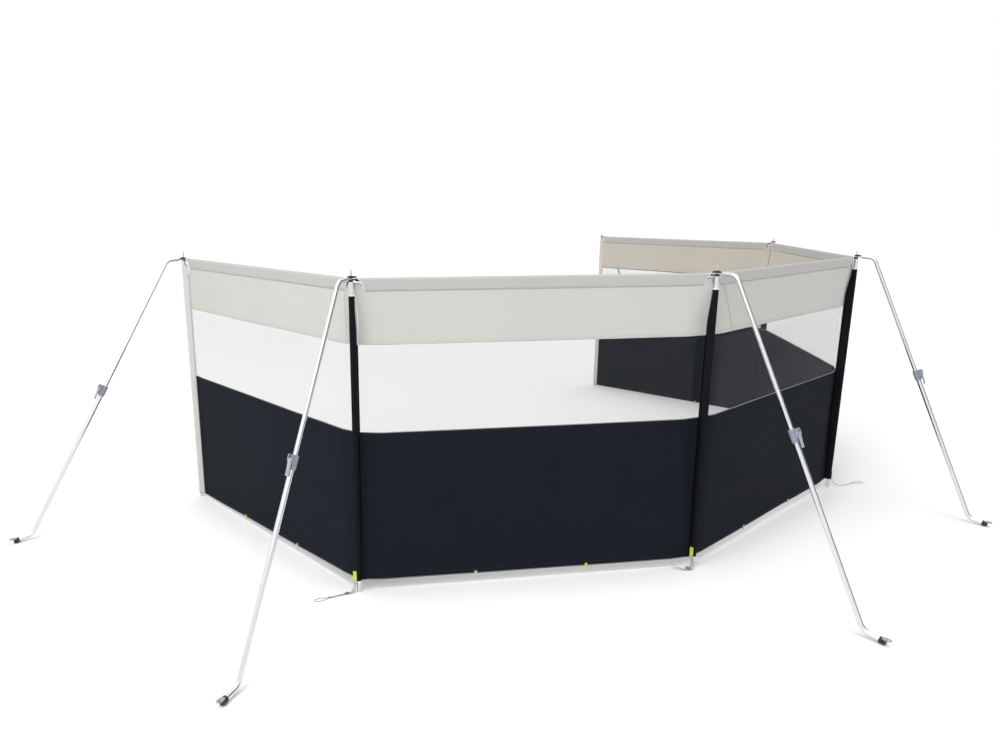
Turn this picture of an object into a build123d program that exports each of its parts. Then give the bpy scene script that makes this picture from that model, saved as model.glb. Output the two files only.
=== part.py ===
"""Five-bay beach windbreak with header rails, clear windows and telescopic braces, in millimetres.

The bays run P0 to P5 round the sheltered side, which faces +Y. Bay C lies along X, and the floor
is at Z = 0. Each brace hangs on the pin of its post, leans out and stands on its own foot.
"""
from build123d import *
import os
from math import atan2, cos, degrees, pi, radians, sin, tan

os.makedirs("parts", exist_ok=True)

# plan of the row: heading of each bay, counted anticlockwise from +X
bay_length = 1600
bay_headings = (-91.4, -33.8, 0, 40.7, 89.7)
bay_names = ("a", "b", "c", "d", "e")

# heights above the floor, and drops below the top of the cloth
cloth_top = 1400
sleeve_drop = 55
ear_drop = 22
band_base = 1120
window_base = 735
hem_heights = (15, 45, 40, 50, 45, 15)

# cloth and film
cloth = 1.2
film = 0.8
seam_gap = 1.0
welt_radius = 3.0

# posts and the pins in their tops
post_radius = 11
post_wall = 1.2
foot_plate = 3
pin_radius = 3
pin_height = 52
pin_taper = 8
pin_point = 0.6
pin_plug = 25

# pockets that hold the posts
pocket_cloth = 1.3
pocket_ease = 0.3
pocket_base = 50
pocket_drop = 51
wing_width = 20
end_strip = 33
end_pocket_base = 18
end_pocket_drop = 20

# header rails and their end fittings
rail_radius = 8
rail_wall = 1.2
rail_start = 40
rail_ease = 0.3
mouth_top = 15
mouth_base = 48
arm_radius = 5
arm_start = 14
plug_depth = 30
eye_radius = 8
eye_thickness = 5
eye_drop = 4.2
eye_gap = 0.3
eye_ease = 0.2

# braces
upper_radius = 9.45
upper_wall = 1.2
lower_wall = 1.5
slide_fit = 0.05
pin_fit = 0.05
lug_thickness = 4
lug_radius = 9
lug_flat = 13
lug_length = 34
shoulder_reach = 95
shoulder_drop = 4
shoulder_radius = 42
lower_length = 840
upper_length = 1030
heel_height = 24
heel_radius = 48
foot_run = 86
toe_height = 14.5
brace_headings = (179.3, -158.3, -95, -89.9, 30, -0.3)
brace_reaches = (938, 836, 797, 745, 836, 938)

# clamp on top of each lower tube
clamp_length = 58
clamp_wall = 4.5
clamp_lip = 9
ear_thickness = 4
ear_radius = 8
ear_offset = 22
ear_gap = 0.5
cam_radius = 7
lever_width = 13
lever_length = 68
lever_thickness = 6
lever_drop = 4
lever_pin = 2.5
lever_fit = 0.05

# foot of each brace
cap_wall = 2.2
cap_length = 30
cap_end = 4
plate_length = 40
plate_width = 25
plate_thickness = 4
plate_sink = 3
plate_lap = 14
peg_hole = 5.5

# webbing, straps and cords at the foot of the row
tab_width = 12
tab_height = 42
tab_thickness = 2
tab_base = 52
loop_length = 26
loop_width = 14
loop_band = 3
strap_width = 14
strap_thickness = 2.4
strap_turn = 34
strap_reach = 96
strap_pitch = 14
strap_slot = 8
slot_lead = 11.2
tab_headings = (73, 163, 164, -24, -20, 107)
tab_kinds = ("loop", "strap", "strap", "cord", "strap", "loop")
cord_radius = 1.1
cord_gap = 0.2
hem_tab_width = 16
hem_tab_drop = 14


def unit(heading):
    """Unit vector of a heading in the plan."""
    return Vector(cos(radians(heading)), sin(radians(heading)), 0)


def steps_from(start, headings):
    """Post positions, one bay after another from the start."""
    places = [start]
    for heading in headings:
        places.append(places[-1] + unit(heading) * bay_length)
    return places


first_post = -(unit(bay_headings[0]) + unit(bay_headings[1])) * bay_length
posts_at = steps_from(first_post, bay_headings)
post_count = len(posts_at)
inner_posts = range(1, post_count - 1)
end_posts = (0, post_count - 1)
pocket_bore = post_radius + pocket_ease
pocket_radius = pocket_bore + pocket_cloth
cloth_offset = pocket_radius + pocket_ease + cloth / 2
lower_bore = upper_radius + slide_fit
lower_radius = lower_bore + lower_wall
clamp_radius = lower_radius + clamp_wall
pivot_out = clamp_radius + ear_radius + ear_gap
sleeve_base = cloth_top - sleeve_drop
rail_level = cloth_top - cloth - rail_ease - rail_radius
sleeve_radius = cloth_top - rail_level
eye_step = eye_thickness + eye_gap
post_top = rail_level - eye_drop - eye_gap
pin_tip = post_top + pin_height
pin_slant = degrees(atan2(pin_radius - pin_point, pin_taper))
pocket_top = post_top - pocket_drop
end_pocket_top = post_top - end_pocket_drop
strap_posts = [post for post, kind in enumerate(tab_kinds) if kind == "strap"]
slot_count = int((strap_reach - strap_turn - slot_lead) / strap_pitch)


def turn_at(post):
    """Half of the plan angle by which the row turns at a post."""
    return (bay_headings[post] - bay_headings[post - 1]) / 2


def cut_back(post):
    """How much the cloth plane is shorter than the bay at a post, because it passes inside."""
    if post in end_posts:
        return 0
    return cloth_offset * tan(radians(turn_at(post)))


def bay_plane(bay, out=0):
    """Plane of a bay's cloth: X along the bay, Y up and Z away from the shelter."""
    heading = bay_headings[bay]
    inward = unit(heading + 90) * (cloth_offset - out)
    start = posts_at[bay] + inward + unit(heading) * cut_back(bay)
    return Plane(origin=start, x_dir=unit(heading), z_dir=unit(heading - 90))


def bay_span(bay):
    """Length of a bay's cloth between its two corners."""
    return bay_length - cut_back(bay) - cut_back(bay + 1)


def cross_plane(bay, along, out=0):
    """Plane across a bay at a distance along it: X into the shelter and Y up."""
    face = bay_plane(bay, out)
    return Plane(origin=face.from_local_coords((along, 0, 0)), x_dir=-face.z_dir, z_dir=face.x_dir)


def cloth_ends(bay):
    """Where a bay's cloth starts and ends along its plane."""
    start = end_strip if bay == 0 else seam_gap
    end = bay_span(bay) - (end_strip if bay == len(bay_headings) - 1 else seam_gap)
    return start, end


def corner_top(post):
    """Height of the band's corner beside a post, above the slanted mouth of the header sleeve."""
    return end_pocket_top if post in end_posts else cloth_top - ear_drop


def eye_level(bay, post):
    """Underside of a rail's eye on the pin: the rail that starts at an inner post lies on top."""
    stacked = 1 if bay == post and post in inner_posts else 0
    return post_top + eye_gap + stacked * eye_step


def lug_level(post):
    """Underside of the brace's lug, which lies on top of the rails' eyes."""
    return post_top + eye_gap + (2 if post in inner_posts else 1) * eye_step


pieces = []


def keep(part, label):
    """Label a finished sub-part and put it on the list that is written at the end."""
    part.label = label
    pieces.append(part)


# cloth of each bay: lower panel, clear window and top band
for bay, name in enumerate(bay_names):
    start, end = cloth_ends(bay)
    with BuildPart() as lower_panel:
        with BuildSketch(bay_plane(bay, -cloth / 2)):
            with BuildLine():
                Polyline(
                    (start, hem_heights[bay]),
                    (end, hem_heights[bay + 1]),
                    (end, window_base),
                    (start, window_base),
                    close=True,
                )
            make_face()
        extrude(amount=cloth)
    keep(lower_panel.part, f"lower_panel_{name}")

    with BuildPart() as window:
        with BuildSketch(bay_plane(bay, -film / 2)):
            with BuildLine():
                Polyline(
                    (start, window_base),
                    (end, window_base),
                    (end, band_base),
                    (start, band_base),
                    close=True,
                )
            make_face()
        extrude(amount=film)
    keep(window.part, f"window_{name}")

    with BuildPart() as band:
        with BuildSketch(bay_plane(bay, -cloth / 2)):
            with BuildLine():
                Polyline(
                    (start, band_base),
                    (end, band_base),
                    (end, corner_top(bay + 1)),
                    (bay_span(bay) - mouth_base, sleeve_base),
                    (mouth_base, sleeve_base),
                    (start, corner_top(bay)),
                    close=True,
                )
            make_face()
        extrude(amount=cloth)
    keep(band.part, f"top_band_{name}")

# piping along the top of each lower panel, on the outside
with BuildPart() as welts:
    for bay in range(len(bay_names)):
        start, end = cloth_ends(bay)
        with BuildSketch(cross_plane(bay, start + wing_width, cloth / 2)):
            with Locations((0, window_base)):
                Circle(welt_radius)
                Rectangle(
                    2 * welt_radius,
                    2 * welt_radius,
                    align=(Align.MIN, Align.CENTER),
                    mode=Mode.SUBTRACT,
                )
        extrude(amount=end - start - 2 * wing_width)
keep(welts.part, "welts")

# header sleeve: a flattened loop of cloth round the rail, with its ends cut back at a slant
with BuildPart() as header_sleeves:
    for bay in range(len(bay_names)):
        span = bay_span(bay)
        with BuildSketch(cross_plane(bay, mouth_top)):
            with BuildLine():
                Polyline(
                    (cloth / 2, sleeve_base),
                    (sleeve_radius, rail_level),
                    (-sleeve_radius, rail_level),
                    (-cloth / 2, sleeve_base),
                    close=True,
                )
            make_face()
            with Locations((0, rail_level)):
                Circle(sleeve_radius)
                Circle(rail_radius + rail_ease, mode=Mode.SUBTRACT)
        extrude(amount=span - 2 * mouth_top)
        for near, far in ((mouth_top, mouth_base), (span - mouth_top, span - mouth_base)):
            with BuildSketch(bay_plane(bay)):
                with BuildLine():
                    Polyline((near, cloth_top), (far, sleeve_base), (near, sleeve_base), close=True)
                make_face()
            extrude(amount=2 * sleeve_radius, both=True, mode=Mode.SUBTRACT)
keep(header_sleeves.part, "header_sleeves")

# header rails: straight tubes inside the sleeves
with BuildPart() as header_rails:
    for bay in range(len(bay_names)):
        with BuildSketch(cross_plane(bay, rail_start)):
            with Locations((0, rail_level)):
                Circle(rail_radius)
                Circle(rail_radius - rail_wall, mode=Mode.SUBTRACT)
        extrude(amount=bay_span(bay) - 2 * rail_start)
keep(header_rails.part, "header_rails")

# moulded rail ends: a plug in the rail, a round arm and a flat link with an eye on the pin
with BuildPart() as rail_ends:
    for bay in range(len(bay_names)):
        for post, side, edge in ((bay, 1, 0), (bay + 1, -1, bay_span(bay))):
            with BuildSketch(cross_plane(bay, edge + side * arm_start)):
                with Locations((0, rail_level)):
                    Circle(arm_radius)
            extrude(amount=side * (rail_start - arm_start + plug_depth))
            with BuildSketch(cross_plane(bay, edge + side * rail_start)):
                with Locations((0, rail_level)):
                    Circle(rail_radius - rail_wall)
            extrude(amount=side * plug_depth)
            elbow = bay_plane(bay).from_local_coords((edge + side * arm_start, 0, 0))
            across = posts_at[post] - elbow
            level = Vector(0, 0, eye_level(bay, post))
            with BuildSketch(Plane(origin=elbow + level, x_dir=across, z_dir=(0, 0, 1))):
                Circle(arm_radius)
                with Locations((across.length, 0)):
                    Circle(eye_radius)
                make_hull()
                with Locations((across.length, 0)):
                    Circle(pin_radius + eye_ease, mode=Mode.SUBTRACT)
            extrude(amount=eye_thickness)
keep(rail_ends.part, "rail_ends")

# posts: tubes with a closed foot
with BuildPart() as posts:
    for place in posts_at:
        with BuildSketch(Plane(place)):
            Circle(post_radius)
        extrude(amount=post_top)
        with BuildSketch(Plane(place + Vector(0, 0, foot_plate))):
            Circle(post_radius - post_wall)
        extrude(amount=post_top - foot_plate, mode=Mode.SUBTRACT)
keep(posts.part, "posts")

# pins: a plug in the top of each post, with a thin pin that ends in a blunt point
with BuildPart() as post_pins:
    for place in posts_at:
        with BuildSketch(Plane(place + Vector(0, 0, post_top - pin_plug))):
            Circle(post_radius - post_wall)
        extrude(amount=pin_plug)
        with BuildSketch(Plane(place + Vector(0, 0, post_top))):
            Circle(pin_radius)
        extrude(amount=pin_tip - pin_taper - post_top)
        with BuildSketch(Plane(place + Vector(0, 0, pin_tip - pin_taper))):
            Circle(pin_radius)
        extrude(amount=pin_taper, taper=pin_slant)
keep(post_pins.part, "post_pins")

# dark pockets: a loop round each inner post, with a wing sewn to the cloth on each side
with BuildPart() as post_pockets:
    for post in inner_posts:
        place = posts_at[post]
        with BuildSketch(Plane(place + Vector(0, 0, pocket_base))):
            Circle(pocket_radius)
            for bay, edge, side in ((post - 1, bay_span(post - 1), -1), (post, 0, 1)):
                inner_face = bay_plane(bay, cloth / 2)
                outer_face = bay_plane(bay, cloth / 2 + pocket_cloth)
                root = edge - side * cut_back(post)
                tip = edge + side * wing_width
                corners = [
                    inner_face.from_local_coords((root, 0, 0)) - place,
                    inner_face.from_local_coords((tip, 0, 0)) - place,
                    outer_face.from_local_coords((tip, 0, 0)) - place,
                    outer_face.from_local_coords((root, 0, 0)) - place,
                ]
                with BuildLine():
                    Polyline(*[(corner.X, corner.Y) for corner in corners], close=True)
                make_face()
            Circle(pocket_bore, mode=Mode.SUBTRACT)
        extrude(amount=pocket_top - pocket_base)
keep(post_pockets.part, "post_pockets")

# pale pockets: a loop round each end post, with a strip that carries the edge of the cloth
with BuildPart() as end_pockets:
    for post, bay, side in ((end_posts[0], 0, 1), (end_posts[1], len(bay_names) - 1, -1)):
        base = posts_at[post] + Vector(0, 0, end_pocket_base)
        with BuildSketch(Plane(origin=base, x_dir=unit(bay_headings[bay]) * side, z_dir=(0, 0, 1))):
            Circle(pocket_radius)
            with Locations((0, side * cloth_offset)):
                Rectangle(end_strip, 2 * pocket_cloth, align=(Align.MIN, Align.CENTER))
            with Locations((0, side * pocket_radius / 2)):
                Rectangle(pocket_radius, pocket_radius, align=(Align.MIN, Align.CENTER))
            with Locations((0, side * cloth_offset)):
                Rectangle(pocket_radius, 2 * pocket_cloth)
            Circle(pocket_bore, mode=Mode.SUBTRACT)
        extrude(amount=end_pocket_top - end_pocket_base)
keep(end_pockets.part, "end_pockets")

# short webbing tabs on the hem, at a third and at two thirds of each bay
with BuildPart() as hem_tabs:
    for bay in range(len(bay_names)):
        for share in (1 / 3, 2 / 3):
            rise = hem_heights[bay + 1] - hem_heights[bay]
            with BuildSketch(bay_plane(bay, cloth / 2)):
                with Locations((share * bay_span(bay), hem_heights[bay] + share * rise)):
                    Rectangle(hem_tab_width, 2 * hem_tab_drop)
            extrude(amount=tab_thickness)
keep(hem_tabs.part, "hem_tabs")

# bright webbing on the foot of each pocket: a tab on the inner posts, a loop on the end posts
with BuildPart() as foot_tabs:
    for post in range(post_count):
        out = unit(tab_headings[post])
        face = posts_at[post] + out * pocket_radius + Vector(0, 0, tab_base)
        with BuildSketch(Plane(origin=face, x_dir=unit(tab_headings[post] + 90), z_dir=out)):
            if post in end_posts:
                SlotOverall(loop_length, loop_width, rotation=90)
                SlotOverall(
                    loop_length - 2 * loop_band,
                    loop_width - 2 * loop_band,
                    rotation=90,
                    mode=Mode.SUBTRACT,
                )
            else:
                Rectangle(tab_width, tab_height, align=(Align.CENTER, Align.MIN))
        extrude(amount=tab_thickness)
keep(foot_tabs.part, "foot_tabs")

# ladder straps: from the tab down to the floor and along it, with slots for the pegs
with BuildPart() as ladder_straps:
    for post in strap_posts:
        out = unit(tab_headings[post])
        across = unit(tab_headings[post] - 90)
        root = pocket_radius + tab_thickness
        with BuildSketch(Plane(origin=posts_at[post] - across * strap_width / 2, x_dir=out, z_dir=across)):
            with BuildLine():
                Polyline(
                    (root, tab_base + strap_width),
                    (root + strap_thickness, tab_base + strap_width),
                    (strap_turn, strap_thickness),
                    (strap_reach, strap_thickness),
                    (strap_reach, 0),
                    (strap_turn - strap_thickness, 0),
                    (root, tab_base),
                    close=True,
                )
            make_face()
        extrude(amount=strap_width)
        with BuildSketch(Plane(origin=posts_at[post], x_dir=out, z_dir=(0, 0, 1))):
            for slot in range(slot_count):
                with Locations((strap_turn + slot_lead + slot * strap_pitch, 0)):
                    Rectangle(strap_slot, strap_slot)
        extrude(amount=strap_thickness, mode=Mode.SUBTRACT)
keep(ladder_straps.part, "ladder_straps")


def brace_point(post, reach, level):
    """Point in the upright plane of a brace, out from its pin."""
    return posts_at[post] + unit(brace_headings[post]) * reach + Vector(0, 0, level)


# braces: an upper tube hung on the pin, a lower tube that slides on it, a clamp and a foot
for post in range(post_count):
    ahead = unit(brace_headings[post])
    sideways = unit(brace_headings[post] + 90)
    lug_base = lug_level(post)
    lug_middle = lug_base + lug_thickness / 2
    shoulder = brace_point(post, shoulder_reach, lug_middle - shoulder_drop)
    heel = brace_point(post, brace_reaches[post], heel_height)
    toe = brace_point(post, brace_reaches[post] + foot_run, toe_height)
    down = (heel - shoulder).normalized()
    away = down.cross(sideways)
    mouth = heel - down * lower_length
    arm_root = brace_point(post, lug_length, lug_middle)

    with BuildPart() as upper_tube:
        with BuildLine():
            FilletPolyline(arm_root, shoulder, shoulder + down * upper_length, radius=shoulder_radius)
        with BuildSketch(Plane(origin=arm_root, x_dir=sideways, z_dir=shoulder - arm_root)):
            Circle(upper_radius)
            Circle(upper_radius - upper_wall, mode=Mode.SUBTRACT)
        sweep()
        with BuildSketch(Plane(origin=brace_point(post, lug_flat, lug_middle), x_dir=sideways, z_dir=ahead)):
            Rectangle(2 * lug_radius, lug_thickness)
        with BuildSketch(Plane(origin=arm_root, x_dir=sideways, z_dir=shoulder - arm_root)):
            Circle(upper_radius)
        loft()
        with BuildSketch(Plane(origin=brace_point(post, 0, lug_base), x_dir=ahead, z_dir=(0, 0, 1))):
            Circle(lug_radius)
            Rectangle(lug_flat, 2 * lug_radius, align=(Align.MIN, Align.CENTER))
            Circle(pin_radius + pin_fit, mode=Mode.SUBTRACT)
        extrude(amount=lug_thickness)
    keep(upper_tube.part, f"brace_{post}_upper_tube")

    with BuildPart() as lower_tube:
        with BuildLine():
            FilletPolyline(mouth, heel, toe, radius=heel_radius)
        with BuildSketch(Plane(origin=mouth, x_dir=sideways, z_dir=down)):
            Circle(lower_radius)
            Circle(lower_bore, mode=Mode.SUBTRACT)
        sweep()
    keep(lower_tube.part, f"brace_{post}_lower_tube")

    collar_top = mouth - down * clamp_lip
    pivot = collar_top + down * ear_offset + away * pivot_out
    with BuildPart() as clamp:
        with BuildSketch(Plane(origin=collar_top, x_dir=away, z_dir=down)):
            Circle(clamp_radius)
        extrude(amount=clamp_length)
        for offset in (lever_width / 2 + ear_gap, -lever_width / 2 - ear_gap - ear_thickness):
            with BuildSketch(Plane(origin=pivot + sideways * offset, x_dir=away, z_dir=sideways)):
                Circle(ear_radius)
                Rectangle(pivot_out - lower_radius, 2 * ear_radius, align=(Align.MAX, Align.CENTER))
            extrude(amount=ear_thickness)
        with BuildSketch(Plane(origin=collar_top, x_dir=away, z_dir=down)):
            Circle(lower_bore)
        extrude(amount=clamp_lip, mode=Mode.SUBTRACT)
        with BuildSketch(Plane(origin=mouth, x_dir=away, z_dir=down)):
            Circle(lower_radius)
        extrude(amount=clamp_length, mode=Mode.SUBTRACT)
        with BuildSketch(Plane(origin=pivot, x_dir=away, z_dir=sideways)):
            Circle(lever_pin)
        extrude(amount=lever_width / 2 + ear_gap + ear_thickness / 2, both=True)
    keep(clamp.part, f"brace_{post}_clamp")

    with BuildPart() as lever:
        with BuildSketch(Plane(origin=pivot, x_dir=away, z_dir=sideways)):
            Circle(cam_radius)
            with BuildLine():
                Polyline(
                    (cam_radius, 0),
                    (lever_thickness - lever_drop / 2, lever_length / 2),
                    (lever_thickness - lever_drop, lever_length),
                    (-lever_drop, lever_length),
                    (-lever_drop / 2, lever_length / 2),
                    (-lever_drop, 0),
                    close=True,
                )
            make_face()
            Circle(lever_pin + lever_fit, mode=Mode.SUBTRACT)
        extrude(amount=lever_width / 2, both=True)
    keep(lever.part, f"brace_{post}_lever")

    along = (toe - heel).normalized()
    with BuildPart() as foot:
        with BuildSketch(Plane(origin=toe + along * cap_end, x_dir=sideways, z_dir=-along)):
            Circle(lower_radius + cap_wall)
        extrude(amount=cap_length + cap_end)
        plate_base = toe + Vector(0, 0, lower_radius + cap_wall - plate_sink)
        plate_middle = plate_base + ahead * (plate_length / 2 - plate_lap)
        with BuildSketch(Plane(origin=plate_middle, x_dir=ahead, z_dir=(0, 0, 1))):
            SlotOverall(plate_length, plate_width)
            with Locations(((plate_length - plate_width) / 2, 0)):
                Circle(peg_hole, mode=Mode.SUBTRACT)
        extrude(amount=plate_thickness)
        with BuildSketch(Plane(origin=toe, x_dir=sideways, z_dir=-along)):
            Circle(lower_radius)
        extrude(amount=cap_length, mode=Mode.SUBTRACT)
    keep(foot.part, f"brace_{post}_foot")


def floor_point(post, ahead, aside, level):
    """Point near a post, ahead along its tab's heading and aside from it."""
    out = unit(tab_headings[post])
    left = unit(tab_headings[post] + 90)
    return posts_at[post] + out * ahead + left * aside + Vector(0, 0, level)


# peg cords: thin doubled cords that end in a loop for the peg
first_route = [
    (strap_reach + cord_gap, 3, 1.2),
    (118, 4.5, 1.2),
    (140, 3.5, 1.2),
    (160, 9, 1.2),
    (182, 14, 1.2),
    (203, 9, 1.2),
    (211, -2, 1.2),
    (199, -13, 1.2),
    (178, -13, 1.2),
    (158, -5, 1.2),
    (138, -3, 1.2),
    (117, -3.5, 1.2),
    (strap_reach + cord_gap, -3, 1.2),
]
second_route = [
    (15.9, 0, 66),
    (26, 2, 44),
    (44, 5, 22),
    (68, 3, 6),
    (98, -6, 1.2),
    (132, -10, 1.2),
    (166, -4, 1.2),
    (196, 5, 1.2),
    (222, 15, 1.2),
    (250, 16, 1.2),
    (272, 6, 1.2),
    (272, -10, 1.2),
    (250, -17, 1.2),
    (224, -13, 1.2),
    (202, -3, 1.2),
]
cord_routes = {1: first_route, 3: second_route}

for post, route in cord_routes.items():
    points = [floor_point(post, *place) for place in route]
    radii = []
    for before, corner, after in zip(points, points[1:], points[2:]):
        first_run = corner - before
        second_run = after - corner
        half_turn = radians(first_run.get_angle(second_run)) / 2
        radii.append(0.45 * min(first_run.length, second_run.length) / tan(half_turn))
    with BuildPart() as peg_cord:
        with BuildLine():
            cord_line = FilletPolyline(*points, radius=radii)
        with BuildSketch(Plane(origin=points[0], z_dir=points[1] - points[0])):
            Circle(cord_radius)
        sweep()
    section = pi * cord_radius**2
    print("peg cord", post, "length", round(cord_line.length, 1))
    print("radii", [round(radius, 1) for radius in radii])
    print("volume over section times length", round(peg_cord.part.volume / (section * cord_line.length), 4))
    keep(peg_cord.part, f"peg_cord_{post}")

# the whole row is moved so that the middle of its outline is over the origin
cords = [f"peg_cord_{post}" for post in cord_routes]
boxes = [piece.bounding_box() for piece in pieces if piece.label not in cords]
middle_x = (min(box.min.X for box in boxes) + max(box.max.X for box in boxes)) / 2
middle_y = (min(box.min.Y for box in boxes) + max(box.max.Y for box in boxes)) / 2
for piece in pieces:
    placed = Pos(-middle_x, -middle_y, 0) * piece
    placed.label = piece.label
    export_step(placed, f"parts/{piece.label}.step")
print("middle of the row", round(middle_x, 3), round(middle_y, 3))
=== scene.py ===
"""Five-bay beach windbreak: cloth, clear film, webbing, tubes and moulded fittings, in metres."""
import bmesh
import bpy
from math import acos, atan2, cos, pi, radians, sin, sqrt, tan
from mathutils import Matrix, Vector
from mathutils.noise import noise


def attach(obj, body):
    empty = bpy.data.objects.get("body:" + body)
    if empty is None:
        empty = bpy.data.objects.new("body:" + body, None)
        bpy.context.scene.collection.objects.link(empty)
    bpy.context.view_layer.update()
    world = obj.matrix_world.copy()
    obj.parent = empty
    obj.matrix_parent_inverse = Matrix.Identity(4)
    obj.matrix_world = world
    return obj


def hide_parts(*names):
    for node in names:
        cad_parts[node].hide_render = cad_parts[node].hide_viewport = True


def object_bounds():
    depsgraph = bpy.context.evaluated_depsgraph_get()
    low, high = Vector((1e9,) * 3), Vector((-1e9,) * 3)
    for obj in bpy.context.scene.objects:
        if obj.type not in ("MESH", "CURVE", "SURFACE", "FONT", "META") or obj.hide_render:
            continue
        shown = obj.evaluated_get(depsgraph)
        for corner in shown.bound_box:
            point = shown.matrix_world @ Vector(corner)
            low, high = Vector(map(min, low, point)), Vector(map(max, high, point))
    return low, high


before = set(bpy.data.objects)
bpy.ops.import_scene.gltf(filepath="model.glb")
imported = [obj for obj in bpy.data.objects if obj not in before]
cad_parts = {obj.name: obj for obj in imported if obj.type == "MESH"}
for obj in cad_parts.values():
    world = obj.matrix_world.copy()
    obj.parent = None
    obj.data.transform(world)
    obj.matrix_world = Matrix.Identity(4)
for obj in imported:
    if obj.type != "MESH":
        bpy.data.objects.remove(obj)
cad_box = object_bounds()
scene = bpy.context.scene
up = Vector((0, 0, 1))

# Sizes, the same as in the solids, but the lever is 6 mm shorter
BAY = 1.600
HEADINGS = (-91.4, -33.8, 0.0, 40.7, 89.7)
NAMES = "abcde"
MIDDLE = Vector((0.765486, 0.876878, 0))
CLOTH_TOP = 1.400
SLEEVE_BASE = 1.345
BAND_BASE = 1.120
WINDOW_BASE = 0.735
HEMS = (0.015, 0.045, 0.040, 0.050, 0.045, 0.015)
WELT = 0.003
POST_TOP = 1.386
POCKET = 0.0126
CLOTH_IN = 0.0135
POCKET_BASE = 0.050
POCKET_TOP = 1.335
WING = 0.020
END_STRIP = 0.033
END_BASE = 0.018
END_TOP = 1.366
EAR_TOP = 1.378
RAIL_LEVEL = 1.3905
SLEEVE = 0.0095
MOUTH_TOP = 0.009
MOUTH_BASE = 0.046
EYE_STEP = 0.0053
EYE_GAP = 0.0003
PIN = 0.003
LUG_THICK = 0.004
SHOULDER_OUT = 0.095
SHOULDER_DROP = 0.004
HEEL_UP = 0.024
FOOT_RUN = 0.086
TOE_UP = 0.0145
LOWER_LENGTH = 0.840
LOWER = 0.011
UPPER = 0.00945
BRACE_HEADINGS = (179.3, -158.3, -95.0, -89.9, 30.0, -0.3)
BRACE_REACHES = (0.938, 0.836, 0.797, 0.745, 0.836, 0.938)
CLAMP_LENGTH = 0.058
CLAMP_LIP = 0.009
CLAMP = 0.0155
EAR_OFFSET = 0.022
EAR_THICK = 0.004
PIVOT_OUT = 0.024
LEVER_WIDTH = 0.013
LEVER_LENGTH = 0.062
LEVER_THICK = 0.006
LEVER_DROP = 0.004
CAM = 0.007
CAP_WALL = 0.0022
CAP_LENGTH = 0.030
CAP_END = 0.004
PLATE_LENGTH = 0.040
PLATE_WIDTH = 0.025
PLATE_THICK = 0.004
PLATE_SINK = 0.003
PLATE_LAP = 0.014
PEG_HOLE = 0.0055
TAB_HEADINGS = (73, 163, 164, -24, -20, 107)
TAB_BASE = 0.052
TAB_HEIGHT = 0.042
TAB_WIDTH = 0.012
TAB_THICK = 0.002
STRAP_TURN = 0.034
STRAP_REACH = 0.096
CORD = 0.0011
HEM_TAB_WIDTH = 0.016
HEM_TAB_DROP = 0.014

# Sizes that only the scene uses
PANEL_START = 0.0145
RAG_STEP = 0.021
LAP_PROUD = 0.0022
LAP_FADE = 0.012
CORNER_REACH = 0.12
CORNER_DRAW = 0.021
CLEARANCE = 0.0002
RING_RADIUS = 0.0080
RING_WIRE = 0.0019
KNOT_SIZE = 0.0024
CLOTH_THICK = 0.0009
FILM_THICK = 0.0004
TAPE_THICK = 0.0006
CHEEK_GAP = 0.0005

# The body that stays where it is
ROOT = "windbreak"

# The camera: lens in millimetres, shift in picture widths, place in metres, directions in degrees
LENS = 28.332
SHIFT = (0.0617, 0.0233)
EYE_PLACE = (-4.0318, -2.5980, 1.7005)
EYE_HEADING = 47.148
EYE_PITCH = 13.977


def unit(heading):
    """Unit vector of a heading in the plan."""
    return Vector((cos(radians(heading)), sin(radians(heading)), 0))


def post_places():
    """The six posts, one bay after another."""
    places = [-(unit(HEADINGS[0]) + unit(HEADINGS[1])) * BAY - MIDDLE]
    for heading in HEADINGS:
        places.append(places[-1] + unit(heading) * BAY)
    return places


POSTS = post_places()
INNER = (1, 2, 3, 4)
ENDS = (0, 5)


def at_post(post, height):
    """The point on a post's axis at a height."""
    return Vector((POSTS[post].x, POSTS[post].y, height))


def eyes_top(post):
    """Height of the top of the rail eyes on a post."""
    return POST_TOP + EYE_GAP + (1 if post in ENDS else 2) * EYE_STEP


def tab_ways(post):
    """The way that a post's tab points and the way to its left."""
    return unit(TAB_HEADINGS[post]), unit(TAB_HEADINGS[post] + 90)


def cut_back(post):
    """How much the cloth is shorter than the bay at a post, because it passes inside it."""
    if post in ENDS:
        return 0.0
    return CLOTH_IN * tan(radians((HEADINGS[post] - HEADINGS[post - 1]) / 2))


def span_of(bay):
    """Length of a bay's cloth between its corners."""
    return BAY - cut_back(bay) - cut_back(bay + 1)


def on_cloth(bay, along, height, out=0.0):
    """Point on a bay's cloth: along it, above the floor and out towards the windward side."""
    heading = HEADINGS[bay]
    place = POSTS[bay] + unit(heading + 90) * (CLOTH_IN - out) + unit(heading) * (cut_back(bay) + along)
    return Vector((place.x, place.y, height))


def hem_height(bay, along):
    """Height of a bay's lower edge."""
    share = along / span_of(bay)
    return HEMS[bay] + (HEMS[bay + 1] - HEMS[bay]) * share


def smooth(value):
    """Soft step from 0 to 1."""
    value = min(1.0, max(0.0, value))
    return value * value * (3 - 2 * value)


# How far each bay's middle leans out of its plane, and how strong its folds are
BELLY = (0.0035, 0.004, -0.003, 0.004, 0.0035)
FOLDS = (0.0034, 0.0024, 0.0026, 0.003, 0.003)


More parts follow.
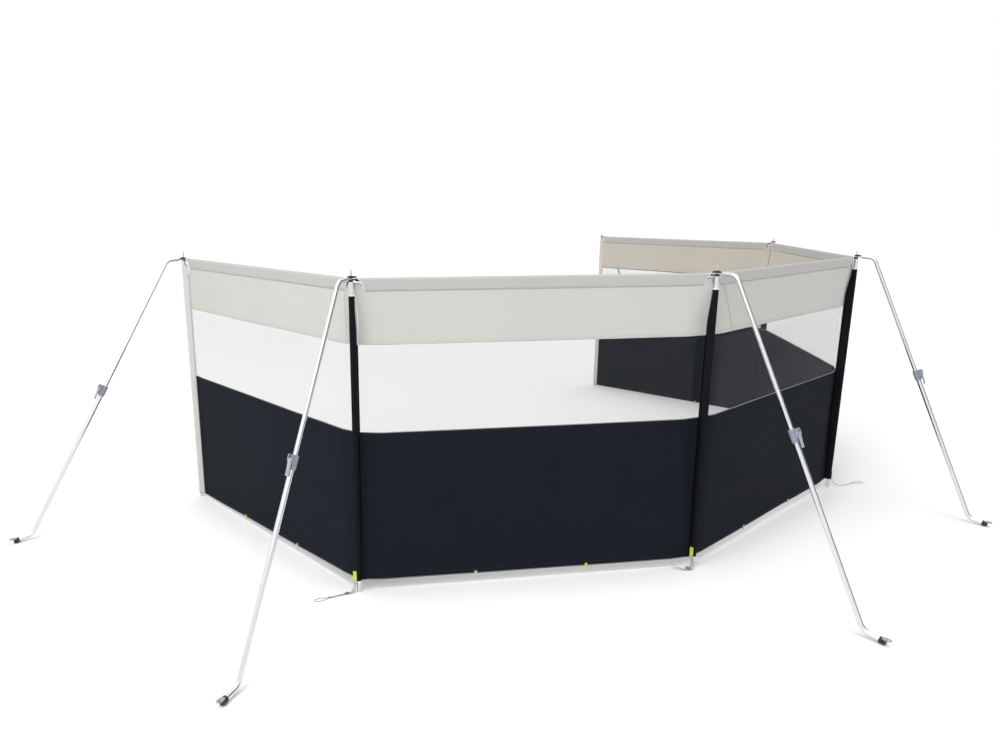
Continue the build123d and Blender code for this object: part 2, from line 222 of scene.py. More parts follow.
def ease(bay, along, height):
    """How far the cloth stands out of its plane: still at the posts and rail, loose at the hem."""
    span = span_of(bay)
    held = smooth(along / 0.16) * smooth((span - along) / 0.16)
    drop = smooth((SLEEVE_BASE - height) / 0.30)
    belly = BELLY[bay] * sin(pi * along / span) * drop
    broad = noise(Vector((along * 2.1 + 9.7 * bay, height * 2.6, 3.1))) * FOLDS[bay]
    lean = along * 0.9 + height * (1 if bay % 2 else -1) * 1.5
    drag = noise(Vector((lean * 4.3 + 4.1 * bay, (height - lean) * 0.8, 7.7))) * FOLDS[bay] * 0.5
    return belly + (broad + drag) * held * drop


def outward(post):
    """Direction that halves the corner at a post, away from the shelter."""
    if post in ENDS:
        return unit(HEADINGS[0 if post == 0 else 4] - 90)
    return unit((HEADINGS[post - 1] + HEADINGS[post]) / 2 - 90)


def tail(height):
    """How far the seam behind a pocket draws the cloth's corner in, away from the tube."""
    below_sleeve = smooth((SLEEVE_BASE + 0.01 - height) / 0.20)
    return CORNER_DRAW * below_sleeve * (0.5 + 0.5 * smooth((height - 0.03) / 0.4))


def loose(bay, along, height, out=0.0):
    """Point on the cloth with its folds, and drawn in beside the inner posts."""
    place = on_cloth(bay, along, height, out + ease(bay, along, height))
    for post, away in ((bay, along), (bay + 1, span_of(bay) - along)):
        if post in INNER and away < CORNER_REACH:
            place -= outward(post) * tail(height) * (1 - smooth(away / CORNER_REACH))
    return place


def placed(name, data):
    """A new object in the scene with its mesh, curve, light or camera."""
    made = bpy.data.objects.new(name, data)
    scene.collection.objects.link(made)
    return made


def as_mesh(piece):
    """A mesh of a piece with its modifiers applied."""
    return bpy.data.meshes.new_from_object(piece.evaluated_get(bpy.context.evaluated_depsgraph_get()))


# Camera, at the eye point fitted to the photo
def make_camera():
    """Camera fitted to the posts, hems, bands and brace feet."""
    lens = bpy.data.cameras.new("camera")
    lens.sensor_width = 36.0
    lens.lens = LENS
    lens.shift_x, lens.shift_y = SHIFT
    camera = placed("camera", lens)
    heading = Matrix.Rotation(radians(EYE_HEADING - 90), 4, "Z")
    pitch = Matrix.Rotation(radians(90 - EYE_PITCH), 4, "X")
    camera.matrix_world = Matrix.Translation(EYE_PLACE) @ (heading @ pitch)
    scene.camera = camera


make_camera()


# Materials
def hex_colour(code):
    """An sRGB hex colour as linear red, green, blue and alpha."""
    parts = [int(code[place:place + 2], 16) / 255 for place in (1, 3, 5)]
    return [part / 12.92 if part <= 0.04045 else ((part + 0.055) / 1.055) ** 2.4 for part in parts] + [1.0]


def add(tree, kind, inputs=None, **settings):
    """Adds a node: settings are its own, inputs are sockets by name or number, each a value or a link."""
    made = tree.nodes.new(kind)
    for name, value in settings.items():
        setattr(made, name, value)
    for name, value in (inputs or {}).items():
        if isinstance(value, bpy.types.NodeSocket):
            tree.links.new(value, made.inputs[name])
        else:
            made.inputs[name].default_value = value
    return made


def mixed(tree, factor, light, dark):
    """The colour between a dark and a light hex code."""
    ends = {"Factor": factor, 6: hex_colour(dark), 7: hex_colour(light)}
    return add(tree, "ShaderNodeMix", ends, data_type="RGBA").outputs[2]


def speckle(tree, place, scale, detail, **more):
    """The strength of a noise on a coordinate; more are its other inputs, without their spaces."""
    inputs = {"Vector": place, "Scale": scale, "Detail": detail}
    inputs.update(more)
    return add(tree, "ShaderNodeTexNoise", inputs).outputs["Fac"]


def ramp(tree, value, low, high, first, last, **settings):
    """A value stretched from one range to another."""
    inputs = {"Value": value, 1: low, 2: high, 3: first, 4: last}
    return add(tree, "ShaderNodeMapRange", inputs, **settings).outputs[0]


def raised(tree, height, strength, distance, under=None):
    """A bump from a height, over another bump where one is given."""
    inputs = {"Strength": strength, "Distance": distance, "Height": height}
    if under:
        inputs["Normal"] = under
    return add(tree, "ShaderNodeBump", inputs).outputs[0]


def dress(tree, shader, colour, normal, gloss=None):
    """Links the patterns of a material to its shader."""
    tree.links.new(colour, shader.inputs["Base Color"])
    tree.links.new(normal, shader.inputs["Normal"])
    if gloss:
        tree.links.new(gloss, shader.inputs["Roughness"])


def new_material(name, inputs):
    """A material with one Principled shader; the caller links its patterns."""
    material = bpy.data.materials.new(name)
    material.use_nodes = True
    tree = material.node_tree
    tree.nodes.clear()
    shader = add(tree, "ShaderNodeBsdfPrincipled", inputs)
    add(tree, "ShaderNodeOutputMaterial", {"Surface": shader.outputs["BSDF"]})
    return material, tree, shader


def woven_cloth(name, light, dark, thread, roughness, bump, sheen, mottle=1.0, shine=0.28):
    """Woven cloth: plain weave from two thread directions, uneven dyeing and soft handling creases.

    The threads are drawn about three times as coarse as they are, because finer ones would not show.
    """
    material, tree, shader = new_material(name, {
        "Roughness": roughness, "IOR": 1.46, "Specular IOR Level": shine,
        "Sheen Weight": sheen, "Sheen Roughness": 0.45,
    })
    cloth = add(tree, "ShaderNodeTexCoord")
    sized = add(tree, "ShaderNodeMapping",
                {"Vector": cloth.outputs["UV"], "Scale": (1 / thread, 1 / thread, 1)})
    warp, weft = [
        add(tree, "ShaderNodeTexWave", {"Vector": sized.outputs[0], "Scale": 0.314, "Distortion": 0.3},
            wave_type="BANDS", bands_direction=way).outputs["Fac"] for way in "XY"]
    weave = add(tree, "ShaderNodeMath", {0: warp, 1: weft}, operation="MULTIPLY").outputs[0]
    stains = speckle(tree, cloth.outputs["UV"], 3.1 * mottle, 4.0, Roughness=0.6)
    creases = speckle(tree, cloth.outputs["UV"], 11.0 * mottle, 3.0, Distortion=1.2)
    blend = add(tree, "ShaderNodeMath", {0: stains, 1: 0.75}, operation="MULTIPLY")
    shade = add(tree, "ShaderNodeMath", {0: weave, 1: 0.25, 2: blend.outputs[0]}, operation="MULTIPLY_ADD")
    handled = raised(tree, creases, 0.35, 0.006)
    fine = raised(tree, weave, bump, 0.0004, handled)
    dress(tree, shader, mixed(tree, shade.outputs[0], light, dark), fine)
    return material


def drawn_metal(name, light, dark, roughness, grain):
    """Drawn and satin anodised metal: even grey, faint handling marks, a slightly uneven gloss."""
    material, tree, shader = new_material(name, {"Metallic": 1.0, "Roughness": roughness})
    place = add(tree, "ShaderNodeTexCoord")
    marks = speckle(tree, place.outputs["Object"], grain, 5.0, Roughness=0.65)
    gloss = ramp(tree, marks, 0.0, 1.0, roughness - 0.06, roughness + 0.07)
    fine = speckle(tree, place.outputs["Object"], 900.0, 2.0)
    dress(tree, shader, mixed(tree, marks, light, dark), raised(tree, fine, 0.05, 0.0002), gloss)
    return material


def moulded(name, light, dark, roughness, grain, alpha=1.0, coat=0.0):
    """Injection-moulded plastic or rubber: fine spark-eroded texture, faint flow shading."""
    material, tree, shader = new_material(name, {
        "Roughness": roughness, "IOR": 1.49, "Alpha": alpha, "Coat Weight": coat, "Coat Roughness": 0.2,
    })
    place = add(tree, "ShaderNodeTexCoord")
    flow = speckle(tree, place.outputs["Object"], 38.0, 3.0)
    skin = speckle(tree, place.outputs["Object"], grain, 2.0)
    gloss = ramp(tree, flow, 0.0, 1.0, roughness - 0.05, roughness + 0.06)
    dress(tree, shader, mixed(tree, flow, light, dark), raised(tree, skin, 0.18, 0.0003), gloss)
    return material


# Polyester canvas with an acrylic coating: matt, warm light grey, a little sheen at grazing angles
BAND_CANVAS = woven_cloth("acrylic_coated_polyester_light", "#c3c3c0", "#b9b9b5", 0.0022, 0.82, 0.12, 0.15)
# Its inner face, uncoated and a little warmer and darker
BAND_INSIDE = woven_cloth("uncoated_polyester_inner_face", "#c5c0b7", "#bab5aa", 0.0022, 0.85, 0.12, 0.15)
# The same canvas doubled round the rail, given a darker grey as painted shade, since less light comes through
# the second layer and the rail
SLEEVE_CANVAS_PAINTED_SHADE = woven_cloth("doubled_polyester_sleeve_painted_shade", "#b9b9b5", "#aeaeae", 0.0022, 0.82, 0.12, 0.12)
# The canvas of the end pockets, a lighter and slightly cooler grey than the band canvas
POCKET_CANVAS = woven_cloth("pale_polyester_pocket", "#cdcdcb", "#c1c1c0", 0.0022, 0.80, 0.12, 0.12)
# PVC-coated polyester, near black with a cold cast and hardly any gloss
DARK_CANVAS = woven_cloth("pvc_coated_polyester_dark", "#1c2027", "#161a20", 0.0026, 0.66, 0.04, 0.0, 1.0,
                          0.04)
DARK_POCKET = woven_cloth("polyester_pocket_black", "#17191d", "#111216", 0.0022, 0.75, 0.06, 0.0, 2.0, 0.06)
# Woven tapes, piping and webbing: coarse threads that catch the light one by one
WHITE_TAPE = woven_cloth("white_binding_tape", "#e6e6e3", "#d8d8d5", 0.0016, 0.75, 0.3, 0.1, 4.0)
CREAM_TAPE = woven_cloth("cream_seam_tape", "#bfc0b2", "#b3b4a6", 0.0016, 0.8, 0.3, 0.1, 4.0)
GREY_STRIP = woven_cloth("grey_seam_strip", "#a3a3a3", "#959596", 0.0016, 0.8, 0.3, 0.1, 4.0)
GREY_PIPING = woven_cloth("grey_piping", "#96969a", "#6e6e72", 0.0016, 0.6, 0.3, 0.1, 6.0)
HEM_TAPE = woven_cloth("grey_hem_tape", "#6c6e72", "#505256", 0.0016, 0.7, 0.3, 0.1, 5.0)
LIME_WEBBING = woven_cloth("lime_polypropylene_webbing", "#c9e04c", "#a9c238", 0.0018, 0.55, 0.5, 0.1, 8.0)
PALE_WEBBING = woven_cloth("pale_polypropylene_webbing", "#c9c9c0", "#a9a9a0", 0.0018, 0.6, 0.5, 0.1, 8.0)
PALE_THREAD = moulded("polyester_thread_pale", "#c4c4c0", "#a9a9a6", 0.6, 700.0)
DARK_THREAD = moulded("polyester_thread_dark", "#4a4c50", "#33353a", 0.6, 700.0)
CORD_BRAID = woven_cloth("braided_polyester_cord", "#6f6c65", "#45433e", 0.0012, 0.6, 0.5, 0.1, 9.0)
# Drawn aluminium tube with a clear satin anodised skin
TUBE = drawn_metal("satin_anodised_aluminium", "#e2e3e5", "#d2d4d7", 0.24, 9.0)
STEEL = drawn_metal("stainless_steel_pin", "#c9cacc", "#b2b4b8", 0.22, 30.0)
ZINC = drawn_metal("zinc_plated_ring", "#7c7d80", "#636467", 0.38, 60.0)
# Glass-filled nylon, spark-eroded mould: matt with a fine grain
BLACK_NYLON = moulded("glass_filled_nylon_black", "#1c1c1f", "#111113", 0.5, 1400.0)
CLAMP_NYLON = moulded("nylon_clamp_grey_lavender", "#8d92a4", "#7c8193", 0.48, 1200.0)
LEVER_NYLON = moulded("nylon_lever_light_grey", "#a6a9ac", "#989b9f", 0.46, 1200.0)
PLATE_NYLON = moulded("nylon_plate_warm_grey", "#a5a49c", "#8e8d86", 0.5, 1200.0)
# Thermoplastic polyurethane strap: cloudy clear, soft gloss
CLEAR_TPU = moulded("thermoplastic_polyurethane_clear", "#b4b8b8", "#9ca0a0", 0.28, 500.0, 0.80, 0.3)
TPU_WEB = moulded("thermoplastic_polyurethane_web", "#d0d4d4", "#c0c4c4", 0.25, 500.0, 0.30, 0.3)


def clear_film():
    """Clear PVC film: almost all light passes, a faint grey tint, long soft waves from its roll."""
    material, tree, shader = new_material("pvc_film_clear", {
        "Roughness": 0.12, "IOR": 1.53, "Alpha": 0.120, "Specular IOR Level": 0.4,
    })
    place = add(tree, "ShaderNodeTexCoord")
    sized = add(tree, "ShaderNodeMapping", {"Vector": place.outputs["UV"], "Scale": (1.6, 4.0, 1.0)})
    waves = speckle(tree, sized.outputs[0], 2.2, 2.0, Distortion=0.8)
    dress(tree, shader, mixed(tree, waves, "#34363a", "#2a2c2e"), raised(tree, waves, 0.25, 0.01))
    return material


CLEAR_FILM = clear_film()


# Mesh helpers
def piece_of(name, points, faces, material, uvs=None, flat=False):
    """A mesh piece at the origin, with an optional UV for each point."""
    mesh = bpy.data.meshes.new(name)
    mesh.from_pydata([tuple(point) for point in points], [], faces)
    mesh.update()
    if uvs:
        layer = mesh.uv_layers.new(name="UVMap")
        for loop in mesh.loops:
            layer.data[loop.index].uv = uvs[loop.vertex_index]
    piece = placed(name, mesh)
    mesh.materials.append(material)
    mesh.polygons.foreach_set("use_smooth", [not flat] * len(mesh.polygons))
    return piece


def face_outwards(piece):
    """Closed pieces get their doubles merged and their faces turned outwards."""
    work = bmesh.new()
    work.from_mesh(piece.data)
    bmesh.ops.remove_doubles(work, verts=work.verts, dist=1e-6)
    bmesh.ops.recalc_face_normals(work, faces=work.faces)
    work.to_mesh(piece.data)
    work.free()
    return piece


def finish_with(piece, kind, **settings):
    """Adds one modifier to a piece."""
    modifier = piece.modifiers.new(kind.lower(), kind)
    for name, value in settings.items():
        setattr(modifier, name, value)
    return piece


def strip_faces(rows, columns, wrap=False):
    """Quads of a grid of points, row after row; wrap closes each row on itself."""
    faces = []
    last = columns if wrap else columns - 1
    for row in range(rows - 1):
        for column in range(last):
            right = (column + 1) % columns
            first = row * columns
            faces.append((first + column, first + right, first + columns + right, first + columns + column))
    return faces


def ring_faces(rings, sides, closed):
    """Faces of a tube made of rings: closed on itself, or with a cap at each end."""
    faces = strip_faces(rings, sides, wrap=True)
    last = (rings - 1) * sides
    if closed:
        return faces + [(last + turn, last + (turn + 1) % sides, (turn + 1) % sides, turn)
                        for turn in range(sides)]
    return faces + [tuple(range(sides))[::-1], tuple(last + turn for turn in range(sides))]


def hoop(centre, first, second, count):
    """Points of a closed oval round a centre, from its two half axes."""
    return [centre + first * cos(2 * pi * step / count) + second * sin(2 * pi * step / count)
            for step in range(count)]


def shell(name, rows, columns, at, material, thickness, even=False, wrap=False):
    """A thin layer over a grid: at(row, column) gives a point and its place on the roll in metres."""
    points, uvs = zip(*[at(row, column) for row in range(rows) for column in range(columns)])
    piece = piece_of(name, points, strip_faces(rows, columns, wrap), material, uvs)
    return finish_with(piece, "SOLIDIFY", thickness=thickness, offset=0.0, use_even_offset=even)


def cloth_sheet(name, material, thickness, at, columns, rows):
    """A single layer of cloth: at(u, v) gives its point and its place on the roll in metres."""
    return shell(name, rows + 1, columns + 1, lambda row, column: at(column / columns, row / rows), material,
                 thickness, even=True)


def tube_along(name, path, radius, material, sides=8, closed=False, squash=1.0):
    """A round or flattened strand along points, with its length on the UV."""
    points, uvs = [], []
    run = 0.0
    count = len(path)
    for number, place in enumerate(path):
        before = path[number - 1] if closed or number else path[0]
        after = path[(number + 1) % count] if closed or number < count - 1 else path[-1]
        ahead = (after - before).normalized()
        side = ahead.cross(up)
        if side.length < 0.05:
            side = ahead.cross(Vector((1, 0, 0)))
        side.normalize()
        rise = side.cross(ahead)
        if number:
            run += (place - path[number - 1]).length
        points += hoop(place, side * radius, rise * (radius * squash), sides)
        uvs += [(run, turn * 2 * pi * radius / sides) for turn in range(sides)]
    return face_outwards(piece_of(name, points, ring_faces(count, sides, closed), material, uvs))


def joined(name, pieces):
    """Several pieces made into one mesh piece."""
    work = bmesh.new()
    materials = []
    for piece in pieces:
        start = len(work.faces)
        mesh = as_mesh(piece)
        material = piece.data.materials[0]
        if material not in materials:
            materials.append(material)
        work.from_mesh(mesh)
        work.faces.ensure_lookup_table()
        for face in work.faces[start:]:
            face.material_index = materials.index(material)
        bpy.data.meshes.remove(mesh)
        bpy.data.objects.remove(piece)
    mesh = bpy.data.meshes.new(name)
    work.to_mesh(mesh)
    work.free()
    for material in materials:
        mesh.materials.append(material)
    return placed(name, mesh)


def settle(piece, body=ROOT, replaced=()):
    """Puts a piece on its body, in place of the nodes that it stands for."""
    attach(piece, body)
    if replaced:
        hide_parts(*replaced)
    return piece


# Peg cords, made first after the camera
def by_tab(post, ahead, aside, level):
    """Point near a post's foot in millimetres: ahead along its tab's heading, aside and up."""
    out, left = tab_ways(post)
    place = POSTS[post] + (out * ahead + left * aside) / 1000
    return Vector((place.x, place.y, level / 1000))


CORD_ROUTES = {
    1: [(96.2, 3, 1.2), (118, 4.5, 1.2), (140, 3.5, 1.2), (160, 9, 1.2), (182, 14, 1.2), (203, 9, 1.2),
        (211, -2, 1.2), (199, -13, 1.2), (178, -13, 1.2), (158, -5, 1.2), (138, -3, 1.2), (117, -3.5, 1.2),
        (96.2, -3, 1.2)],
    3: [(15.9, 0, 66), (26, 2, 44), (44, 5, 22), (68, 3, 6), (98, -6, 1.2), (132, -10, 1.2), (166, -4, 1.2),
        (196, 5, 1.2), (222, 15, 1.2), (250, 16, 1.2), (272, 6, 1.2), (272, -10, 1.2), (250, -17, 1.2),
        (224, -13, 1.2), (202, -3, 1.2)],
}


def peg_cord(post):
    """Thin braided cord on one smooth line through its route's points."""
    route = [by_tab(post, *place) for place in CORD_ROUTES[post]]
    curve = bpy.data.curves.new(f"peg_cord_{post}", "CURVE")
    curve.dimensions = "3D"
    line = curve.splines.new("NURBS")
    line.points.add(len(route) - 1)
    for point, place in zip(line.points, route):
        point.co = (*place, 1.0)
    line.order_u = 3
    line.use_endpoint_u = True
    line.resolution_u = 10
    centre = placed(f"peg_cord_{post}_line", curve)
    bpy.context.view_layer.update()
    measured = bpy.data.meshes.new_from_object(centre)
    spots = [vertex.co.copy() for vertex in measured.vertices]
    bpy.data.meshes.remove(measured)
    bpy.data.objects.remove(centre)
    curve.bevel_depth = CORD
    curve.bevel_resolution = 3
    curve.use_fill_caps = True
    curve.materials.append(CORD_BRAID)
    cord = placed(f"peg_cord_{post}_braid", curve)
    length = sum((after - before).length for before, after in zip(spots, spots[1:]))
    return settle(cord, ROOT, [f"peg_cord_{post}"]), route, length


def knot_at(name, centre, ahead):
    """An overhand knot: two turns of the cord drawn tight round itself."""
    side = ahead.cross(up).normalized()
    path = []
    for step in range(40):
        angle = 4 * pi * step / 39
        reach = KNOT_SIZE * (1 + 0.25 * sin(angle * 0.75))
        place = centre + ahead * KNOT_SIZE * 0.9 * (step / 39 - 0.5) * 2
        path.append(place + side * reach * cos(angle) + up * reach * sin(angle) * 0.8)
    return tube_along(name, path, CORD, CORD_BRAID)


KNOTS = {1: (by_tab(1, 140, 3.5, 3.6) + by_tab(1, 138, -3, 3.6)) / 2, 3: by_tab(3, 199, 2, 3.6)}

for post in CORD_ROUTES:
    cord, route, length = peg_cord(post)
    knot = knot_at(f"peg_cord_{post}_knot", KNOTS[post], unit(TAB_HEADINGS[post]))
    settle(knot, ROOT, ())
    tuple(route[0])


# Stitches, a geometry-nodes row along a seam
def stitch_tree():
    """Stitches along a line: a small rounded bead for each, set end to end along the seam."""
    tree = bpy.data.node_groups.new("stitch_row", "GeometryNodeTree")
    tree.interface.new_socket("Seam", in_out="INPUT", socket_type="NodeSocketGeometry")
    for name, value in (("Pitch", 0.006), ("Length", 0.0040), ("Thread", 0.0009)):
        socket = tree.interface.new_socket(name, in_out="INPUT", socket_type="NodeSocketFloat")
        socket.default_value = value
    tree.interface.new_socket("Finish", in_out="INPUT", socket_type="NodeSocketMaterial")
    tree.interface.new_socket("Row", in_out="OUTPUT", socket_type="NodeSocketGeometry")
    given = add(tree, "NodeGroupInput")
    line = add(tree, "GeometryNodeMeshToCurve", {"Mesh": given.outputs["Seam"]})
    spaced = add(tree, "GeometryNodeResampleCurve", {"Curve": line.outputs["Curve"],
                                                     "Length": given.outputs["Pitch"]}, mode="LENGTH")
    ahead = add(tree, "GeometryNodeInputTangent")
    turned = add(tree, "FunctionNodeAlignRotationToVector", {"Vector": ahead.outputs[0]}, axis="X")
    bead = add(tree, "GeometryNodeMeshIcoSphere", {"Radius": 0.5, "Subdivisions": 1})
    size = add(tree, "ShaderNodeCombineXYZ", {"X": given.outputs["Length"], "Y": given.outputs["Thread"],
                                              "Z": given.outputs["Thread"]})
    rows = add(tree, "GeometryNodeInstanceOnPoints", {
        "Points": spaced.outputs["Curve"], "Instance": bead.outputs["Mesh"],
        "Rotation": turned.outputs["Rotation"], "Scale": size.outputs[0]})
    real = add(tree, "GeometryNodeRealizeInstances", {"Geometry": rows.outputs[0]})
    done = add(tree, "GeometryNodeSetMaterial", {"Geometry": real.outputs[0],
                                                 "Material": given.outputs["Finish"]})
    add(tree, "NodeGroupOutput", {"Row": done.outputs[0]})
    return tree


STITCHES = stitch_tree()


def sew(name, seams, thread, pitch=0.006, length=0.0042, width=0.0010):
    """Rows of stitches along seams, each a list of points, as one plain mesh piece."""
    points, edges = [], []
    for seam in seams:
        first = len(points)
        points += [tuple(point) for point in seam]
        edges += [(first + number, first + number + 1) for number in range(len(seam) - 1)]
    mesh = bpy.data.meshes.new(name)
    mesh.from_pydata(points, edges, [])
    line = placed(name + "_seam", mesh)
    row = line.modifiers.new("stitches", "NODES")
    row.node_group = STITCHES
    given = {item.name: item.identifier for item in STITCHES.interface.items_tree if item.in_out == "INPUT"}
    row[given["Pitch"]] = pitch
    row[given["Length"]] = length
    row[given["Thread"]] = width
    row[given["Finish"]] = thread
    bpy.context.view_layer.update()
    sewn = as_mesh(line)
    bpy.data.objects.remove(line)
    sewn.name = name
    sewn.materials.clear()
    sewn.materials.append(thread)
    sewn.polygons.foreach_set("use_smooth", [True] * len(sewn.polygons))
    return settle(placed(name, sewn))


# Cloth of each bay
def cloth_ends(bay, end_gap):
    """Where a bay's cloth starts and ends along its plane."""
    start = end_gap if bay == 0 else -0.0003
    end = span_of(bay) - (end_gap if bay == 4 else -0.0003)
    return start, end


def ragged(height):
    """The cut edge of the dark cloth on the end pockets: small steps where the zigzag pulls it in."""
    step = 0.0009 * (1 if int(height / RAG_STEP) % 2 else -1)
    return step + 0.0012 * noise(Vector((height * 31, 2.2, 0)))


def lower_panel(bay):
    """Dark lower panel, from the hem to the foot of the window."""
    start, end = cloth_ends(bay, PANEL_START)

    def at(u, v):
        along = start + (end - start) * u
        low = hem_height(bay, along)
        height = low + (WINDOW_BASE - low) * v
        shift = 0.0
        if bay == 0 and u == 0 or bay == 4 and u == 1:
            shift = ragged(height)
        over = LAP_PROUD * (1 - smooth((along - 0.028) / LAP_FADE)) if bay == 0 else 0.0
        if bay == 4:
            over = LAP_PROUD * (1 - smooth((end - along - 0.014) / LAP_FADE))
        return loose(bay, along + shift, height, over), (along, height)

    piece = cloth_sheet(f"lower_cloth_{NAMES[bay]}", DARK_CANVAS, CLOTH_THICK, at, 96, 60)
    settle(piece, ROOT, [f"lower_panel_{NAMES[bay]}"])


def window(bay):
    """Clear film between the lower panel and the top band."""
    start, end = cloth_ends(bay, END_STRIP - 0.006)

    def at(u, v):
        along = start + (end - start) * u
        height = WINDOW_BASE - 0.008 + (BAND_BASE - WINDOW_BASE + 0.014) * v
        return loose(bay, along, height, -0.0008), (along, height)

    piece = cloth_sheet(f"window_film_{NAMES[bay]}", CLEAR_FILM, FILM_THICK, at, 80, 18)
    settle(piece, ROOT, [f"window_{NAMES[bay]}"])


def band_top(bay, along):
    """Upper edge of the single band cloth, with the ears beside the posts above the sleeve's mouth."""
    near = min(along, span_of(bay) - along)
    if near > MOUTH_BASE:
        return SLEEVE_BASE
    share = max(0.0, (near - MOUTH_TOP) / (MOUTH_BASE - MOUTH_TOP))
    return min(EAR_TOP + 0.003, SLEEVE_BASE + (CLOTH_TOP - SLEEVE_BASE) * sqrt(1 - share * share))


def top_band(bay):
    """Light top band, from the window to the header sleeve."""
    start, end = cloth_ends(bay, END_STRIP - 0.004)

    def at(u, v):
        along = start + (end - start) * u
        high = band_top(bay, along)
        height = BAND_BASE + (high - BAND_BASE) * v
        return loose(bay, along, height), (along, height)

    piece = cloth_sheet(f"band_cloth_{NAMES[bay]}", BAND_CANVAS, CLOTH_THICK, at, 110, 22)
    piece.data.materials.append(BAND_INSIDE)
    piece.modifiers[0].material_offset = 1
    settle(piece, ROOT, [f"top_band_{NAMES[bay]}"])


def mouth(height):
    """How far from the corner the header sleeve's mouth is: it curves out and down from the pin."""
    fall = min(1.0, max(0.0, (CLOTH_TOP - height) / (CLOTH_TOP - SLEEVE_BASE)))
    return MOUTH_TOP + (MOUTH_BASE - MOUTH_TOP) * (0.2 * fall + 0.8 * sqrt(max(0.0, 1 - (1 - fall) ** 2)))


def sleeve_section():
    """Section of the header sleeve: out of plane and height, round the rail and down to one seam."""
    reach = SLEEVE - 0.0004
    fall = RAIL_LEVEL - SLEEVE_BASE
    lean = atan2(reach, fall)
    turns = 22
    ring = []
    for step in range(7):
        share = step / 6
        ring.append((0.0009 + (reach * cos(lean) - 0.0009) * share, SLEEVE_BASE + fall * share))
    for step in range(1, turns):
        angle = pi * step / turns
        ring.append((reach * cos(angle), RAIL_LEVEL + reach * sin(angle)))
    for out, height in ring[:7][::-1]:
        ring.append((-out, height))
    return ring


def header_sleeve(bay):
    """The band's cloth doubled round the rail, with faint gathers and a curved mouth at each end."""
    span = span_of(bay)
    ring = sleeve_section()
    count = 150

    def at(number, step):
        out, height = ring[number]
        near = mouth(height)
        along = near + (span - 2 * near) * step / count
        wave = noise(Vector((along * 5 + bay * 3.3, height * 6, 1.0))) * 0.0008
        side = 1 if out >= 0 else -1
        free = 1 - smooth((height - SLEEVE_BASE - 0.02) / 0.02)
        puff = side * max(0.0, wave) * free if height > SLEEVE_BASE + 0.002 else 0.0
        out = out + puff + ease(bay, along, min(height, SLEEVE_BASE))
        return on_cloth(bay, along, height, out), (along, number * 0.006)

    # The sleeve's darker grey cloth is painted shade
    piece = shell(f"header_sleeve_{NAMES[bay]}", len(ring), count + 1, at, SLEEVE_CANVAS_PAINTED_SHADE, 0.0008, even=True)
    settle(piece, ROOT, ["header_sleeves"])


def mouth_tape(bay, far):
    """White binding tape on the sleeve's curved mouth, on both faces and over the rail."""
    span = span_of(bay)
    ring = sleeve_section()

    def at(number, step):
        out, height = ring[number]
        along = mouth(height) + (-0.0010, 0.0006, 0.0022, 0.0036)[step]
        grow = 0.0007 if step in (1, 2) else 0.0004
        away = Vector((1 if out >= 0 else -1, 0))
        if height >= RAIL_LEVEL:
            away = Vector((out, height - RAIL_LEVEL)).normalized()
        place = on_cloth(bay, span - along if far else along, height + away.y * grow, out + away.x * grow)
        return place, (number * 0.006, step * 0.002)

    return shell(f"mouth_tape_{NAMES[bay]}_{int(far)}", len(ring), 4, at, WHITE_TAPE, 0.0007)


for make in (lower_panel, window, top_band, header_sleeve):
    for bay in range(5):
        make(bay)
settle(joined("mouth_tapes", [mouth_tape(bay, far) for bay in range(5) for far in (False, True)]))


def seam_line(bay, start, end, height_at, out, count=200):
    """Points along a bay at a height that may vary, on the folded cloth."""
    line = []
    for step in range(count + 1):
        along = start + (end - start) * step / count
        line.append(loose(bay, along, height_at(along), out))
    return line


def piping(bay):
    """Round piping on top of a lower panel, on the windward side."""
    start, end = cloth_ends(bay, END_STRIP)
    path = seam_line(bay, start + 0.012, end - 0.012, lambda along: WINDOW_BASE + 0.0006, 0.0019, 160)
    return tube_along(f"piping_{NAMES[bay]}", path, WELT * 0.72, GREY_PIPING)


settle(joined("piping_rows", [piping(bay) for bay in range(5)]), ROOT, ["welts"])


def tape(name, bay, start, end, low_at, high_at, out, material):
    """A flat tape sewn on a bay's cloth between two heights."""
    def at(u, v):
        along = start + (end - start) * u
        low = low_at(along)
        height = low + (high_at(along) - low) * v
        return loose(bay, along, height, out), (along, height)

    return cloth_sheet(name, material, TAPE_THICK, at, 120, 2)


hem_tapes, band_hems, dark_seams, pale_seams = [], [], [], []
for bay in range(5):
    start, end = cloth_ends(bay, PANEL_START)
    for side in (1, -1):
        hem_tapes.append(tape(f"hem_{bay}_{side}", bay, start, end,
                              lambda along: hem_height(bay, along) - 0.0006,
                              lambda along: hem_height(bay, along) + 0.0042, side * 0.0009, HEM_TAPE))
    start, end = cloth_ends(bay, END_STRIP)
    band_hems.append(tape(f"band_hem_{bay}", bay, start, end, lambda along: BAND_BASE - 0.001,
                          lambda along: BAND_BASE + 0.0125, 0.0008, BAND_CANVAS))
    for out in (0.0010, -0.0010):
        dark_seams.append(seam_line(bay, start, end, lambda along: hem_height(bay, along) + 0.020, out))
        dark_seams.append(seam_line(bay, start, end, lambda along: WINDOW_BASE - 0.008, out))
    for out in (0.0015, -0.0010):
        pale_seams.append(seam_line(bay, start, end, lambda along: BAND_BASE + 0.009, out))
    for out in (0.0026, -0.0026):
        pale_seams.append(seam_line(bay, MOUTH_BASE, span_of(bay) - MOUTH_BASE,
                                    lambda along: SLEEVE_BASE + 0.005, out))
settle(joined("hem_tapes", hem_tapes))
settle(joined("band_hems", band_hems))
sew("dark_stitches", dark_seams, DARK_THREAD)
sew("pale_stitches", pale_seams, PALE_THREAD)


